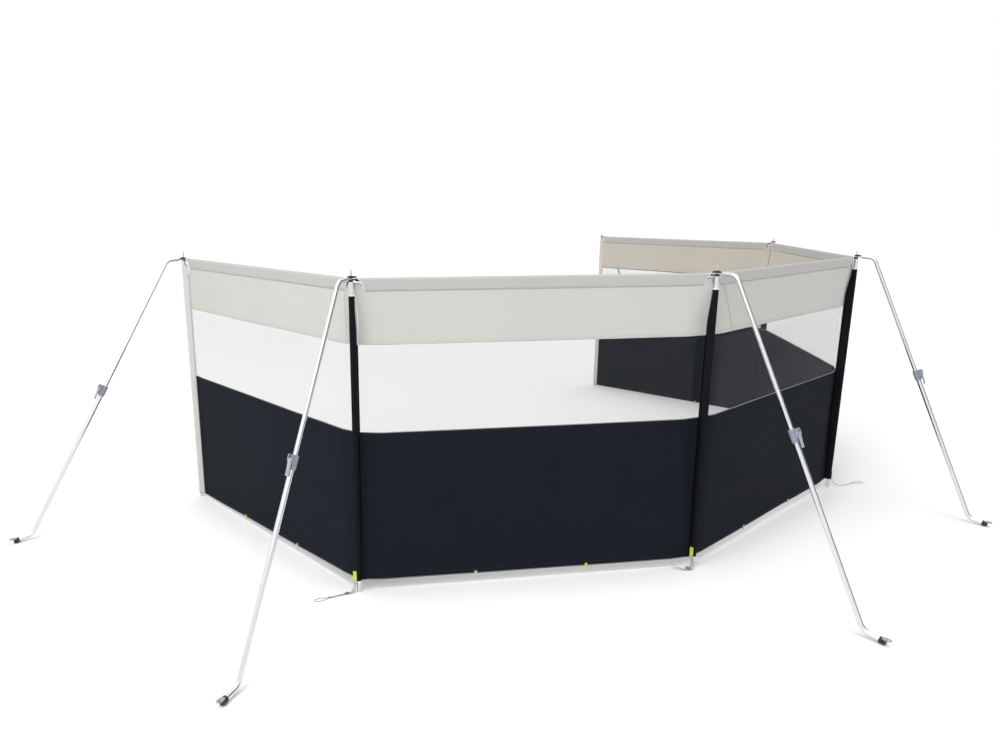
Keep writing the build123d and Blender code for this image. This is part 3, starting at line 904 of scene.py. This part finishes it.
# Pockets round the posts
def pocket_section(post, height, radius):
    """Section of a pocket: round the tube, and on an inner post drawn back to the seam behind it."""
    front = outward(post)
    side = Vector((-front.y, front.x, 0))
    centre = at_post(post, height)
    if post in ENDS:
        seam_at = on_cloth(0 if post == 0 else 4, 0.026 if post == 0 else span_of(4) - 0.026, height, 0.0012)
        front = (centre - seam_at).normalized()
        side = Vector((-front.y, front.x, 0))
        back = (centre - seam_at).length
    else:
        half = radians((HEADINGS[post] - HEADINGS[post - 1]) / 2)
        back = max(CLOTH_IN / cos(half) + tail(height) + 0.0008, radius * 1.04)
    open_turn = pi - acos(radius / back)
    ring = [centre + (front * cos(turn) + side * sin(turn)) * radius
            for turn in [open_turn * (1 - step / 13) for step in range(27)]]
    seam = centre - front * back
    last, first = ring[-1], ring[0]
    ring += [last.lerp(seam, share) for share in (0.33, 0.66)] + [seam]
    return ring + [first.lerp(seam, share) for share in (0.66, 0.33)]


def pocket_tube(name, post, low, high, radius, material, rings=70):
    """A cloth tube round a post, a little creased where it hangs slack."""
    heights = [low + (high - low) * ring / rings for ring in range(rings + 1)]
    sections = [pocket_section(post, height, radius) for height in heights]
    sides = len(sections[0])

    def at(ring, side):
        place, height = sections[ring][side], heights[ring]
        away = (place - at_post(post, height)).normalized()
        crease = noise(Vector((away.x * 1.4 + post * 5, away.y * 1.4, height * 9))) * 0.0003
        return place + away * crease, (side * 2 * pi * radius / sides, height)

    return shell(name, rings + 1, sides, at, material, CLOTH_THICK, wrap=True)


def wing(name, bay, side, low, high, width, out, material, curve=0.0):
    """A strip sewn to the cloth beside a post, whose free edge may bow a little."""
    edge = span_of(bay) if side < 0 else 0.0

    def at(u, v):
        height = low + (high - low) * v
        bow = curve * sin(pi * v) ** 0.8
        along = edge + side * (0.0006 + (width + bow - 0.0006) * u)
        rise = 0.0009 * (1 - abs(2 * u - 1)) + out
        return loose(bay, along, height, rise), (u * width, height)

    return cloth_sheet(name, material, 0.0007, at, 5, 60)


# Width, cloth and bow of the strips beside a pocket, by post and side, where they differ from the rest
STRIPS = {(1, -1): (0.063, CREAM_TAPE, 0.004), (1, 1): (0.006, WHITE_TAPE, 0.008),
          (2, -1): (0.012, BAND_CANVAS, 0.0), (2, 1): (0.030, BAND_CANVAS, 0.004),
          (3, -1): (0.034, GREY_STRIP, 0.004)}


def inner_pocket(post):
    """Black pocket of an inner post: the tube, its dark wings and the strips beside it on the band."""
    pieces = [pocket_tube(f"pocket_{post}", post, POCKET_BASE, POCKET_TOP, POCKET - 0.0005, DARK_POCKET)]
    for bay, side in ((post - 1, -1), (post, 1)):
        hem = hem_height(bay, span_of(bay) / 2) + 0.004
        pieces.append(wing(f"dark_wing_{post}_{side}", bay, side, hem, WINDOW_BASE + 0.002, WING, 0.0009,
                           DARK_CANVAS))
        pieces.append(wing(f"film_wing_{post}_{side}", bay, side, WINDOW_BASE, BAND_BASE, 0.0060, 0.0007,
                           DARK_POCKET))
        width, finish, curve = STRIPS.get((post, side), (0.020, SLEEVE_CANVAS_PAINTED_SHADE, 0.004))
        pieces.append(wing(f"cream_wing_{post}_{side}", bay, side, BAND_BASE - 0.001, EAR_TOP - 0.020,
                           width, 0.0009, finish, curve))
    return pieces


def slack_edge(post, bay):
    """The cream tape that runs slack from a post's top down across the band, wide above and narrow below."""
    def at(u, v):
        height = BAND_BASE - 0.001 + (EAR_TOP - 0.012 - BAND_BASE) * v
        along = 0.205 - 0.135 * v ** 1.15
        wide = 0.008 + 0.022 * v ** 3
        place = loose(bay, along + wide * u, height, 0.0010 + 0.0006 * (1 - abs(2 * u - 1)))
        return place, (u * wide, height)

    return cloth_sheet(f"slack_edge_{post}", CREAM_TAPE, TAPE_THICK, at, 4, 60)


pocket_parts = [piece for post in INNER for piece in inner_pocket(post)] + [slack_edge(2, 2)]
settle(joined("inner_pockets", pocket_parts), ROOT, ["post_pockets"])

RIM_SPANS = {"top": (POCKET_TOP - 0.007, POCKET_TOP + 0.0012),
             "foot": (POCKET_BASE - 0.0012, POCKET_BASE + 0.005)}
settle(joined("pocket_rims", [
    pocket_tube(f"rim_{end}_{post}", post, low, high, POCKET + 0.0004, WHITE_TAPE, 3)
    for post in INNER for end, (low, high) in RIM_SPANS.items()]))


def end_pocket(post):
    """Pale pocket of an end post: the tube and the strip that carries the cloth, rounded at the top."""
    bay, side = (0, 1) if post == 0 else (4, -1)
    edge = 0.0 if post == 0 else span_of(4)
    pieces = [pocket_tube(f"end_pocket_{post}", post, END_BASE, END_TOP - 0.004, POCKET - 0.0005,
                          POCKET_CANVAS)]

    def at(u, v):
        height = END_BASE + (END_TOP - END_BASE) * v
        round_off = 0.016 * (1 - sqrt(max(0.0, 1 - max(0.0, 1 - (END_TOP - height) / 0.016) ** 2)))
        width = END_STRIP - round_off
        along = edge + side * (width * u)
        return on_cloth(bay, along, height, 0.0007 + 0.0006 * sin(pi * u)), (u * width, height)

    pieces.append(cloth_sheet(f"end_strip_{post}", POCKET_CANVAS, 0.0011, at, 8, 110))

    def patch_at(u, v):
        low, high = END_TOP - 0.056, END_TOP - 0.001
        height = low + (high - low) * v
        bulge = sqrt(max(0.0, 1 - (2 * v - 1) ** 2))
        width = 0.010 + 0.032 * bulge
        along = edge + side * (0.0135 + (width - 0.0135 + 0.004) * u)
        return on_cloth(bay, along, height, 0.0022 + 0.0008 * sin(pi * u)), (u * width, height)

    pieces.append(cloth_sheet(f"corner_patch_{post}", WHITE_TAPE, 0.0009, patch_at, 8, 24))
    return pieces


settle(joined("end_pocket_cloth", end_pocket(0) + end_pocket(5)), ROOT, ["end_pockets"])

end_seams = []
for post, bay, side in ((0, 0, 1), (5, 4, -1)):
    edge = 0.0 if post == 0 else span_of(4)
    zigzag = []
    for step in range(int((WINDOW_BASE - 0.05) / 0.0052)):
        height = 0.03 + step * 0.0052
        zigzag.append(on_cloth(bay, edge + side * (0.0205 + 0.0032 * (-1) ** step), height, 0.0042))
    end_seams.append(zigzag)
    end_seams.append([on_cloth(bay, edge + side * 0.0275, WINDOW_BASE + 0.02 + step * 0.01, 0.0021)
                      for step in range(60)])
sew("end_stitches", end_seams, PALE_THREAD, 0.0060, 0.0046, 0.0011)


# Tabs, ladder straps and rings at the feet
def webbing_patch(name, centre, wide, high, normal, material, thickness, curl=0.0):
    """A short piece of woven webbing with rounded corners and a slight curl."""
    across = up.cross(normal).normalized()

    def at(row, column):
        u = column / 6 - 0.5
        v = row / 10 - 0.5
        trim = 1 - 0.16 * smooth((abs(v) - 0.40) / 0.10)
        bend = curl * (v * 2) ** 2
        return centre + across * wide * u * trim + up * high * v + normal * bend, (u * wide, v * high)

    return finish_with(shell(name, 11, 7, at, material, thickness), "BEVEL", width=0.0004, segments=2)


hem_parts = []
for bay in range(5):
    for number, share in enumerate((1 / 3, 2 / 3)):
        along = share * span_of(bay)
        low = hem_height(bay, along)
        normal = unit(HEADINGS[bay] - 90)
        finish = LIME_WEBBING if (bay, number) in ((0, 0), (1, 1), (2, 1), (3, 1), (4, 0)) else PALE_WEBBING
        for side in (1, -1):
            centre = loose(bay, along, low + 0.001, side * 0.0016)
            hem_parts.append(webbing_patch(f"hem_tab_{bay}_{number}_{side}", centre, HEM_TAB_WIDTH * 0.8,
                                           2 * HEM_TAB_DROP * 0.8, normal * side, finish, 0.0012))
settle(joined("hem_tab_webbing", hem_parts), ROOT, ["hem_tabs"])

# How far the tabs at two posts are turned, in degrees, and stand off the pocket
TAB_TURNS = {1: 40, 2: 12}
TAB_STANDS = {1: 0.0060, 2: 0.0018}

foot_parts = []
for post in range(6):
    out = unit(TAB_HEADINGS[post])
    if post in INNER:
        turned = unit(TAB_HEADINGS[post] + TAB_TURNS.get(post, 0))
        centre = POSTS[post] + out * (POCKET + TAB_STANDS.get(post, TAB_THICK / 2 + CLEARANCE))
        centre += up * (TAB_BASE + TAB_HEIGHT / 2 + 0.0035)
        foot_parts.append(webbing_patch(f"foot_tab_{post}", centre, TAB_WIDTH + 0.006, TAB_HEIGHT + 0.010,
                                        turned, LIME_WEBBING, 0.0018, 0.0006))
    else:
        side = unit(TAB_HEADINGS[post] + (90 if post == 0 else -90))
        middle = POSTS[post] + out * 0.0085 + side * 0.0140 + up * TAB_BASE
        turns = [2 * pi * step / 28 for step in range(28)]
        loop = [middle + side * 0.0050 * cos(angle) * (1 + 0.25 * sin(angle)) + up * 0.0150 * sin(angle) +
                out * 0.001 * sin(2 * angle) for angle in turns]
        foot_parts.append(tube_along(f"foot_loop_{post}", loop, 0.0013, PALE_WEBBING, closed=True))
settle(joined("foot_tab_webbing", foot_parts), ROOT, ["foot_tabs"])


# How far each strap curls aside, and how far the end of post 2's lifts and reaches on
STRAP_CURLS = {1: 0.0, 2: -0.024, 4: 0.008}
STRAP_LIFT = 0.026
STRAP_FURTHER = 0.012


def ladder_strap(post):
    """Clear moulded ladder strap: down from the tab, round to the floor, two rails joined by rungs."""
    out, left = tab_ways(post)
    root = POCKET + TAB_THICK
    line = []
    for step in range(31):
        share = step / 30
        if share < 0.45:
            t = share / 0.45
            ahead = root + 0.0012 + (STRAP_TURN - root - 0.002) * t ** 1.6
            level = TAB_BASE + 0.012 - (TAB_BASE + 0.012 - 0.0016) * (1 - (1 - t) ** 1.35)
        else:
            t = (share - 0.45) / 0.55
            ahead = STRAP_TURN - 0.0008 + (STRAP_REACH - STRAP_TURN + 0.0005) * t
            level = 0.0013
        line.append(POSTS[post] + out * ahead + up * max(level, 0.0013))
    curl = STRAP_CURLS[post]
    line = [place - left * curl * sin(pi * min(1.0, step / 26)) + left * curl * 0.9 * smooth((step - 20) / 10)
            for step, place in enumerate(line)]
    if post == 2:
        line = [place + up * STRAP_LIFT * smooth((step - 20) / 12) +
                out * STRAP_FURTHER * smooth((step - 16) / 14)
                for step, place in enumerate(line)]
    half = [(0.0115 - 0.0055 * smooth(step / 24) if post == 1 else 0.0098) for step in range(31)]
    rails = []
    for side in (-1, 1):
        path = [place + left * side * half[step] for step, place in enumerate(line)]
        rails.append(tube_along(f"strap_rail_{post}_{side}", path, 0.0016, CLEAR_TPU, squash=0.7))
    for number in range(3, 31, 3):
        rung = [line[number] + left * half[number] * share for share in (-1, -0.5, 0, 0.5, 1)]
        rails.append(tube_along(f"strap_rung_{post}_{number}", rung, 0.0019, CLEAR_TPU, squash=0.6))

    def at(step, number):
        share = (-0.9, -0.3, 0.3, 0.9)[number]
        return line[step] + left * half[step] * share, (step * 0.004, share * half[step])

    return rails + [shell(f"strap_web_{post}", 31, 4, at, TPU_WEB, 0.0008)]


# Where the rings lie on the straps, in millimetres from the post: ahead, aside and up
RING_PLACES = {1: (58, 0, 4.4), 2: (38, 7, 4.4), 4: (38, -4, 4.4)}

strap_parts, rings = [], []
for post, place in RING_PLACES.items():
    strap_parts += ladder_strap(post)
    out, left = tab_ways(post)
    circle = hoop(by_tab(post, *place), out * RING_RADIUS, left * RING_RADIUS, 26)
    rings.append(tube_along(f"ring_{post}", circle, RING_WIRE, ZINC, closed=True))
settle(joined("ladder_strap_mouldings", strap_parts), ROOT, ["ladder_straps"])
settle(joined("strap_rings", rings))


# Braces
def brace_frame(post):
    """The main points and directions of a brace, worked out as in the solids."""
    ahead = unit(BRACE_HEADINGS[post])
    side = unit(BRACE_HEADINGS[post] + 90)
    middle = eyes_top(post) + LUG_THICK / 2
    base = POSTS[post]
    shoulder = base + ahead * SHOULDER_OUT + up * (middle - SHOULDER_DROP)
    heel = base + ahead * BRACE_REACHES[post] + up * HEEL_UP
    toe = base + ahead * (BRACE_REACHES[post] + FOOT_RUN) + up * TOE_UP
    down = (heel - shoulder).normalized()
    away = down.cross(side)
    top = heel - down * LOWER_LENGTH - down * CLAMP_LIP
    pivot = top + down * EAR_OFFSET + away * PIVOT_OUT
    return {"ahead": ahead, "side": side, "down": down, "away": away, "top": top, "toe": toe, "heel": heel,
            "pivot": pivot}


def lathe(name, profile, origin, axis, material, sides=40):
    """A turned ring: its closed profile is distance along the axis and radius."""
    axis = axis.normalized()
    side = axis.cross(up)
    if side.length < 0.1:
        side = axis.cross(Vector((1, 0, 0)))
    side.normalize()
    other = axis.cross(side)
    points = []
    for along, radius in profile:
        points += hoop(origin + axis * along, side * radius, other * radius, sides)
    return face_outwards(piece_of(name, points, ring_faces(len(profile), sides, True), material))


def slab(name, outline, origin, x_dir, y_dir, low, high, material, bevel):
    """An outline extruded across its plane, with rounded edges."""
    z_dir = x_dir.cross(y_dir).normalized()
    points = []
    for level in (low, high):
        for x, y in outline:
            points.append(origin + x_dir * x + y_dir * y + z_dir * level)
    count = len(outline)
    faces = [tuple(range(count))[::-1], tuple(range(count, 2 * count))]
    faces += [(number, (number + 1) % count, count + (number + 1) % count, count + number)
              for number in range(count)]
    piece = face_outwards(piece_of(name, points, faces, material))
    return finish_with(piece, "BEVEL", width=bevel, segments=3, limit_method="ANGLE",
                       angle_limit=radians(40))


def arc(centre, radius, first, last, count):
    """Points of an arc in an outline, in degrees."""
    return [(centre[0] + radius * cos(radians(first + (last - first) * step / count)),
             centre[1] + radius * sin(radians(first + (last - first) * step / count)))
            for step in range(count + 1)]


def clamp_piece(post, place):
    """Nylon clamp: a collar round both tubes and a housing that holds the lever's pin."""
    top, down, away = place["top"], place["down"], place["away"]
    bore = UPPER + 0.00005
    collar = lathe(f"collar_{post}", [
        (0.0012, bore), (0.0, bore + 0.0008), (0.0, CLAMP - 0.0016), (0.0012, CLAMP), (0.018, CLAMP),
        (0.019, CLAMP - 0.0006), (0.020, CLAMP), (CLAMP_LENGTH - 0.010, CLAMP - 0.0004),
        (CLAMP_LENGTH - 0.002, CLAMP - 0.0016), (CLAMP_LENGTH, CLAMP - 0.003), (CLAMP_LENGTH, LOWER),
        (CLAMP_LIP, LOWER), (CLAMP_LIP, bore)], top, down, CLAMP_NYLON, 44)
    inner = LOWER + 0.001
    outline = [(inner, 0.0005), (0.021, 0.0005)]
    outline += arc((PIVOT_OUT, EAR_OFFSET - 0.0145), 0.0080, -90, 0, 8)
    outline.append((PIVOT_OUT + 0.0080, EAR_OFFSET + 0.002))
    outline += arc((PIVOT_OUT, EAR_OFFSET + 0.001), 0.0079, 10, 90, 8)
    outline += [(0.019, EAR_OFFSET + 0.0165), (0.0165, CLAMP_LENGTH - 0.012), (inner, CLAMP_LENGTH - 0.004)]
    cheeks = []
    for low in (LEVER_WIDTH / 2 + CHEEK_GAP, -LEVER_WIDTH / 2 - CHEEK_GAP - EAR_THICK):
        cheeks.append(slab(f"cheek_{post}_{low:.4f}", outline, top, away, down, low, low + EAR_THICK,
                           CLAMP_NYLON, 0.0009))
    return [collar] + cheeks


def lever_piece(post, place):
    """Cam lever: a round cam, a waisted arm with grip ribs and a rounded tip."""
    pivot = place["pivot"]
    outline = arc((0, 0), CAM, -200, -20, 14)
    outline += [(CAM, 0.002), (LEVER_THICK - LEVER_DROP / 2, LEVER_LENGTH / 2)]
    outline += arc((-0.0010, LEVER_LENGTH - 0.003), 0.0030, 0, 180, 8)
    outline += [(-LEVER_DROP / 2 - 0.0004, LEVER_LENGTH / 2), (-LEVER_DROP, 0.006)]
    half = LEVER_WIDTH / 2
    arm = slab(f"lever_arm_{post}", outline, pivot, place["away"], place["down"], -half, half, LEVER_NYLON,
               0.0012)
    parts = [arm]
    for number in range(5):
        at = LEVER_LENGTH - 0.012 - number * 0.0042
        out = 0.0028 + (LEVER_LENGTH - at) * 0.03
        rib = [pivot + place["down"] * at + place["away"] * out + place["side"] * share * half * 0.72
               for share in (-1, -0.5, 0, 0.5, 1)]
        parts.append(tube_along(f"rib_{post}_{number}", rib, 0.0009, LEVER_NYLON))
    return parts


def pin_head(name, centre, axis):
    """Domed steel head of a lever's pin."""
    radius, thick = 0.0034, 0.0014
    profile = [(-0.0004, radius * 0.2), (-0.0004, radius), (thick * 0.4, radius),
               (thick * 0.8, radius * 0.85), (thick, radius * 0.5), (thick * 0.86, radius * 0.2)]
    return lathe(name, profile, centre, axis, STEEL, 20)


def foot_pieces(post, place):
    """Black end cap with a rolled rim, and the plate with its peg hole."""
    along = (place["toe"] - place["heel"]).normalized()
    tip = place["toe"] + along * CAP_END
    outer = LOWER + CAP_WALL
    long = CAP_LENGTH + CAP_END - 0.008
    cap = lathe(f"cap_{post}", [
        (0.0, 0.0006), (0.0, outer - 0.0028), (0.0008, outer - 0.0010), (0.0028, outer),
        (0.010, outer - 0.0003), (0.0104, outer - 0.0009), (0.0112, outer - 0.0009), (0.0116, outer - 0.0003),
        (long - 0.006, outer - 0.0003), (long - 0.005, outer), (long - 0.001, outer), (long, outer - 0.0008),
        (long, LOWER), (CAP_END, LOWER), (CAP_END, 0.0006)], tip, -along, BLACK_NYLON)
    middle = place["toe"] + up * (outer - PLATE_SINK) + place["ahead"] * (PLATE_LENGTH / 2 - PLATE_LAP)
    flat = PLATE_LENGTH / 2 - PLATE_WIDTH / 2
    half = PLATE_WIDTH / 2 - 0.0015
    outer_ring = arc((flat, 0), half, -90, 90, 18) + arc((-flat, 0), half, 90, 270, 18)
    angles = [atan2(y, x - flat) for x, y in outer_ring]
    inner_ring = [(flat + PEG_HOLE * cos(angle), PEG_HOLE * sin(angle)) for angle in angles]
    side = up.cross(place["ahead"])
    below = PLATE_THICK - 0.0008
    levels = [(outer_ring, 0.0006, 0.0), (outer_ring, 0.0, 0.0006), (outer_ring, 0.0, below),
              (outer_ring, 0.0008, PLATE_THICK), (inner_ring, -0.0008, PLATE_THICK),
              (inner_ring, 0.0, below), (inner_ring, 0.0, 0.0006), (inner_ring, -0.0006, 0.0)]
    points = []
    for ring, pull, level in levels:
        centre_x = 0 if ring is outer_ring else flat
        for x, y in ring:
            reach = sqrt((x - centre_x) ** 2 + y ** 2)
            scale = (reach - pull) / reach
            points.append(middle + place["ahead"] * (centre_x + (x - centre_x) * scale) + side * y * scale +
                          up * level)
    faces = ring_faces(len(levels), len(outer_ring), True)
    plate = face_outwards(piece_of(f"plate_{post}", points, faces, PLATE_NYLON))
    hole = middle + place["ahead"] * flat + up * (PLATE_THICK + 0.0001)
    rim = hoop(hole, place["ahead"] * (PEG_HOLE + 0.0022), side * (PEG_HOLE + 0.0022), 30)
    return cap, plate, tube_along(f"plate_rim_{post}", rim, 0.0008, PLATE_NYLON, 6, closed=True)


for post in range(6):
    place = brace_frame(post)
    lower_body, cam_body = f"brace_{post}_lower", f"brace_{post}_cam"
    clamp_parts = clamp_piece(post, place)
    settle(joined(f"clamp_{post}", clamp_parts), lower_body, [f"brace_{post}_clamp"])
    heads = []
    for sign in (1, -1):
        centre = place["pivot"] + place["side"] * sign * (LEVER_WIDTH / 2 + CHEEK_GAP + EAR_THICK)
        heads.append(pin_head(f"head_{post}_{sign}", centre, place["side"] * sign))
    settle(joined(f"clamp_pin_{post}", heads), lower_body)
    settle(joined(f"lever_{post}", lever_piece(post, place)), cam_body, [f"brace_{post}_lever"])
    cap, plate, rim = foot_pieces(post, place)
    settle(cap, lower_body, [f"brace_{post}_foot"])
    settle(joined(f"foot_plate_{post}", [plate, rim]), lower_body, [f"brace_{post}_foot"])


# Post tops and the nodes that keep their shape
def horn(name, path, radii, squash):
    """A moulded arm along points whose thickness changes from one to the next."""
    points = []
    for number, place in enumerate(path):
        ahead = (path[min(number + 1, len(path) - 1)] - path[max(number - 1, 0)]).normalized()
        side = ahead.cross(up).normalized()
        rise = side.cross(ahead)
        points += hoop(place, side * radii[number], rise * (squash * radii[number]), 18)
    piece = face_outwards(piece_of(name, points, ring_faces(len(path), 18, False), BLACK_NYLON))
    return finish_with(piece, "BEVEL", width=0.0006, segments=2, limit_method="ANGLE",
                       angle_limit=radians(50))


horns = []
for bay in range(5):
    for post, sign in ((bay, 1), (bay + 1, -1)):
        level = POST_TOP + EYE_GAP + 0.0025 + (EYE_STEP if post == bay and post in INNER else 0)
        way = unit(HEADINGS[bay]) * sign
        inside = unit(HEADINGS[bay] + 90)
        base = at_post(post, level)
        far = at_post(post, RAIL_LEVEL) + inside * CLOTH_IN
        path = [base + way * 0.0065 + inside * 0.001, base + way * 0.012 + inside * 0.004,
                far + way * 0.020 - inside * 0.004, far + way * 0.029, far + way * 0.037]
        horns.append(horn(f"horn_{bay}_{post}", path, (0.0050, 0.0054, 0.0062, 0.0070, 0.0072), 0.48))
for post in range(6):
    ways = [unit(HEADINGS[bay]) * sign for bay, sign in ((post - 1, -1), (post, 1)) if 0 <= bay < 5]
    ways.append(outward(post))
    base = at_post(post, eyes_top(post) + LUG_THICK + 0.0050)
    for number, way in enumerate(ways):
        path = [base + way * reach - up * fall for reach, fall in
                ((0.0036, 0.0), (0.009, 0.0), (0.015, 0.0004), (0.0205, 0.0012), (0.0235, 0.0022))]
        horns.append(horn(f"lobe_{post}_{number}", path, (0.0060, 0.0074, 0.0066, 0.0050, 0.0028), 0.62))
settle(joined("rail_horns", horns))

WASHER = [(0.0, PIN + 0.0003), (0.0, 0.0088), (0.0006, 0.0096), (0.0044, 0.0096), (0.0070, 0.0080),
          (0.0098, 0.0050), (0.0100, PIN + 0.0003)]
tops = []
for post in range(6):
    seat = at_post(post, eyes_top(post) + LUG_THICK + CLEARANCE)
    tops.append(lathe(f"washer_{post}", WASHER, seat, up, BLACK_NYLON, 28))
settle(joined("pin_washers", tops))

NODE_FINISHES = {"posts": TUBE, "header_rails": TUBE, "post_pins": STEEL, "rail_ends": BLACK_NYLON}
for name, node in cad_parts.items():
    finish = TUBE if name.endswith("_tube") else NODE_FINISHES.get(name)
    if finish:
        for place in node.material_slots:
            place.link = "OBJECT"
            place.material = finish


# Floor, light and surroundings: powers in watts, or watts on a square metre for the ceiling light
CEILING_POWER = 1.27
KEY_POWER = 105
KEY_PLACE = (-5.6, -1.2, 4.6)
KEY_WAY = (5.6, 1.2, -4.0)
FLOOR_EDGE = 60
# Ways in which the surround is cooler and dimmer, and in which shiny things mirror a darker part
COOL_SIDE = (0.906, 0.423, 0.0)
SHADED_SIDE = (0.766, -0.643, 0.0)
WARM_TINT = (1.0, 0.965, 0.925, 1.0)
COOL_TINT = (0.95, 0.97, 1.03, 1.0)


def light(name, kind, energy, aim, place, **settings):
    """A light at a place that shines along a direction."""
    lamp = bpy.data.lights.new(name, kind)
    lamp.energy = energy
    for key, value in settings.items():
        setattr(lamp, key, value)
    holder = placed(name, lamp)
    holder.location = place
    holder.rotation_euler = Vector(aim).to_track_quat("-Z", "Y").to_euler()


def studio():
    """Pale floor, flags that keep light from leaking under the hems, a soft key and a white surround."""
    pale, tree, shader = new_material("painted_studio_floor", {"Roughness": 0.9, "Specular IOR Level": 0.1})
    place = add(tree, "ShaderNodeTexCoord")
    dust = speckle(tree, place.outputs["Object"], 0.6, 2.0)
    tree.links.new(mixed(tree, dust, "#fafafa", "#f7f7f7"), shader.inputs["Base Color"])
    felt = new_material("black_felt_flag",
                        {"Base Color": hex_colour("#2b2b2b"), "Roughness": 0.95, "Alpha": 0.45})[0]
    corners = [(x * FLOOR_EDGE, y * FLOOR_EDGE, 0) for x, y in ((-1, -1), (1, -1), (1, 1), (-1, 1))]
    floor = piece_of("floor", corners, [(0, 1, 2, 3)], pale, flat=True)
    for bay in range(5):
        ends = [(along, hem_height(bay, along) - 0.003) for along in (0.0, span_of(bay))]
        corners = [on_cloth(bay, along, 0.0005) for along, high in ends]
        corners += [on_cloth(bay, along, high) for along, high in ends[::-1]]
        flag = piece_of(f"black_flag_{bay}", corners, [(0, 1, 2, 3)], felt, flat=True)
        flag.visible_camera = False
        flag.visible_glossy = False
    world = bpy.data.worlds.new("white_surround")
    scene.world = world
    world.use_nodes = True
    tree = world.node_tree
    tree.nodes.clear()
    way = add(tree, "ShaderNodeTexCoord").outputs["Generated"]
    cool, shaded = [
        add(tree, "ShaderNodeVectorMath", {0: way, 1: toward}, operation="DOT_PRODUCT").outputs["Value"]
        for toward in (COOL_SIDE, SHADED_SIDE)]
    side = ramp(tree, cool, -0.9, 0.9, 0.0, 1.0)
    tint = add(tree, "ShaderNodeMix", {"Factor": side, 6: WARM_TINT, 7: COOL_TINT}, data_type="RGBA")
    soft, mirrored, backdrop = [
        add(tree, "ShaderNodeBackground", {"Color": colour, "Strength": strength}).outputs[0]
        for colour, strength in (
            (tint.outputs[2], ramp(tree, cool, -0.9, 0.9, 1.10, 0.38)),
            ((1, 1, 1, 1), ramp(tree, shaded, 0.60, 0.86, 1.10, 0.10, interpolation_type="SMOOTHSTEP")),
            ((1, 1, 1, 1), 1.0))]
    seen = add(tree, "ShaderNodeLightPath").outputs
    glossy = add(tree, "ShaderNodeMixShader", {0: seen["Is Glossy Ray"], 1: soft, 2: mirrored}).outputs[0]
    both = add(tree, "ShaderNodeMixShader", {0: seen["Is Camera Ray"], 1: glossy, 2: backdrop}).outputs[0]
    add(tree, "ShaderNodeOutputWorld", {"Surface": both})
    light("ceiling_light", "SUN", CEILING_POWER, (0.02, 0.01, -1), (0, 0, 0), angle=radians(42))
    light("key_softbox", "AREA", KEY_POWER, KEY_WAY, KEY_PLACE, shape="DISK", size=4.0)


studio()
scene.view_settings.view_transform = "Standard"

low, high = cad_box
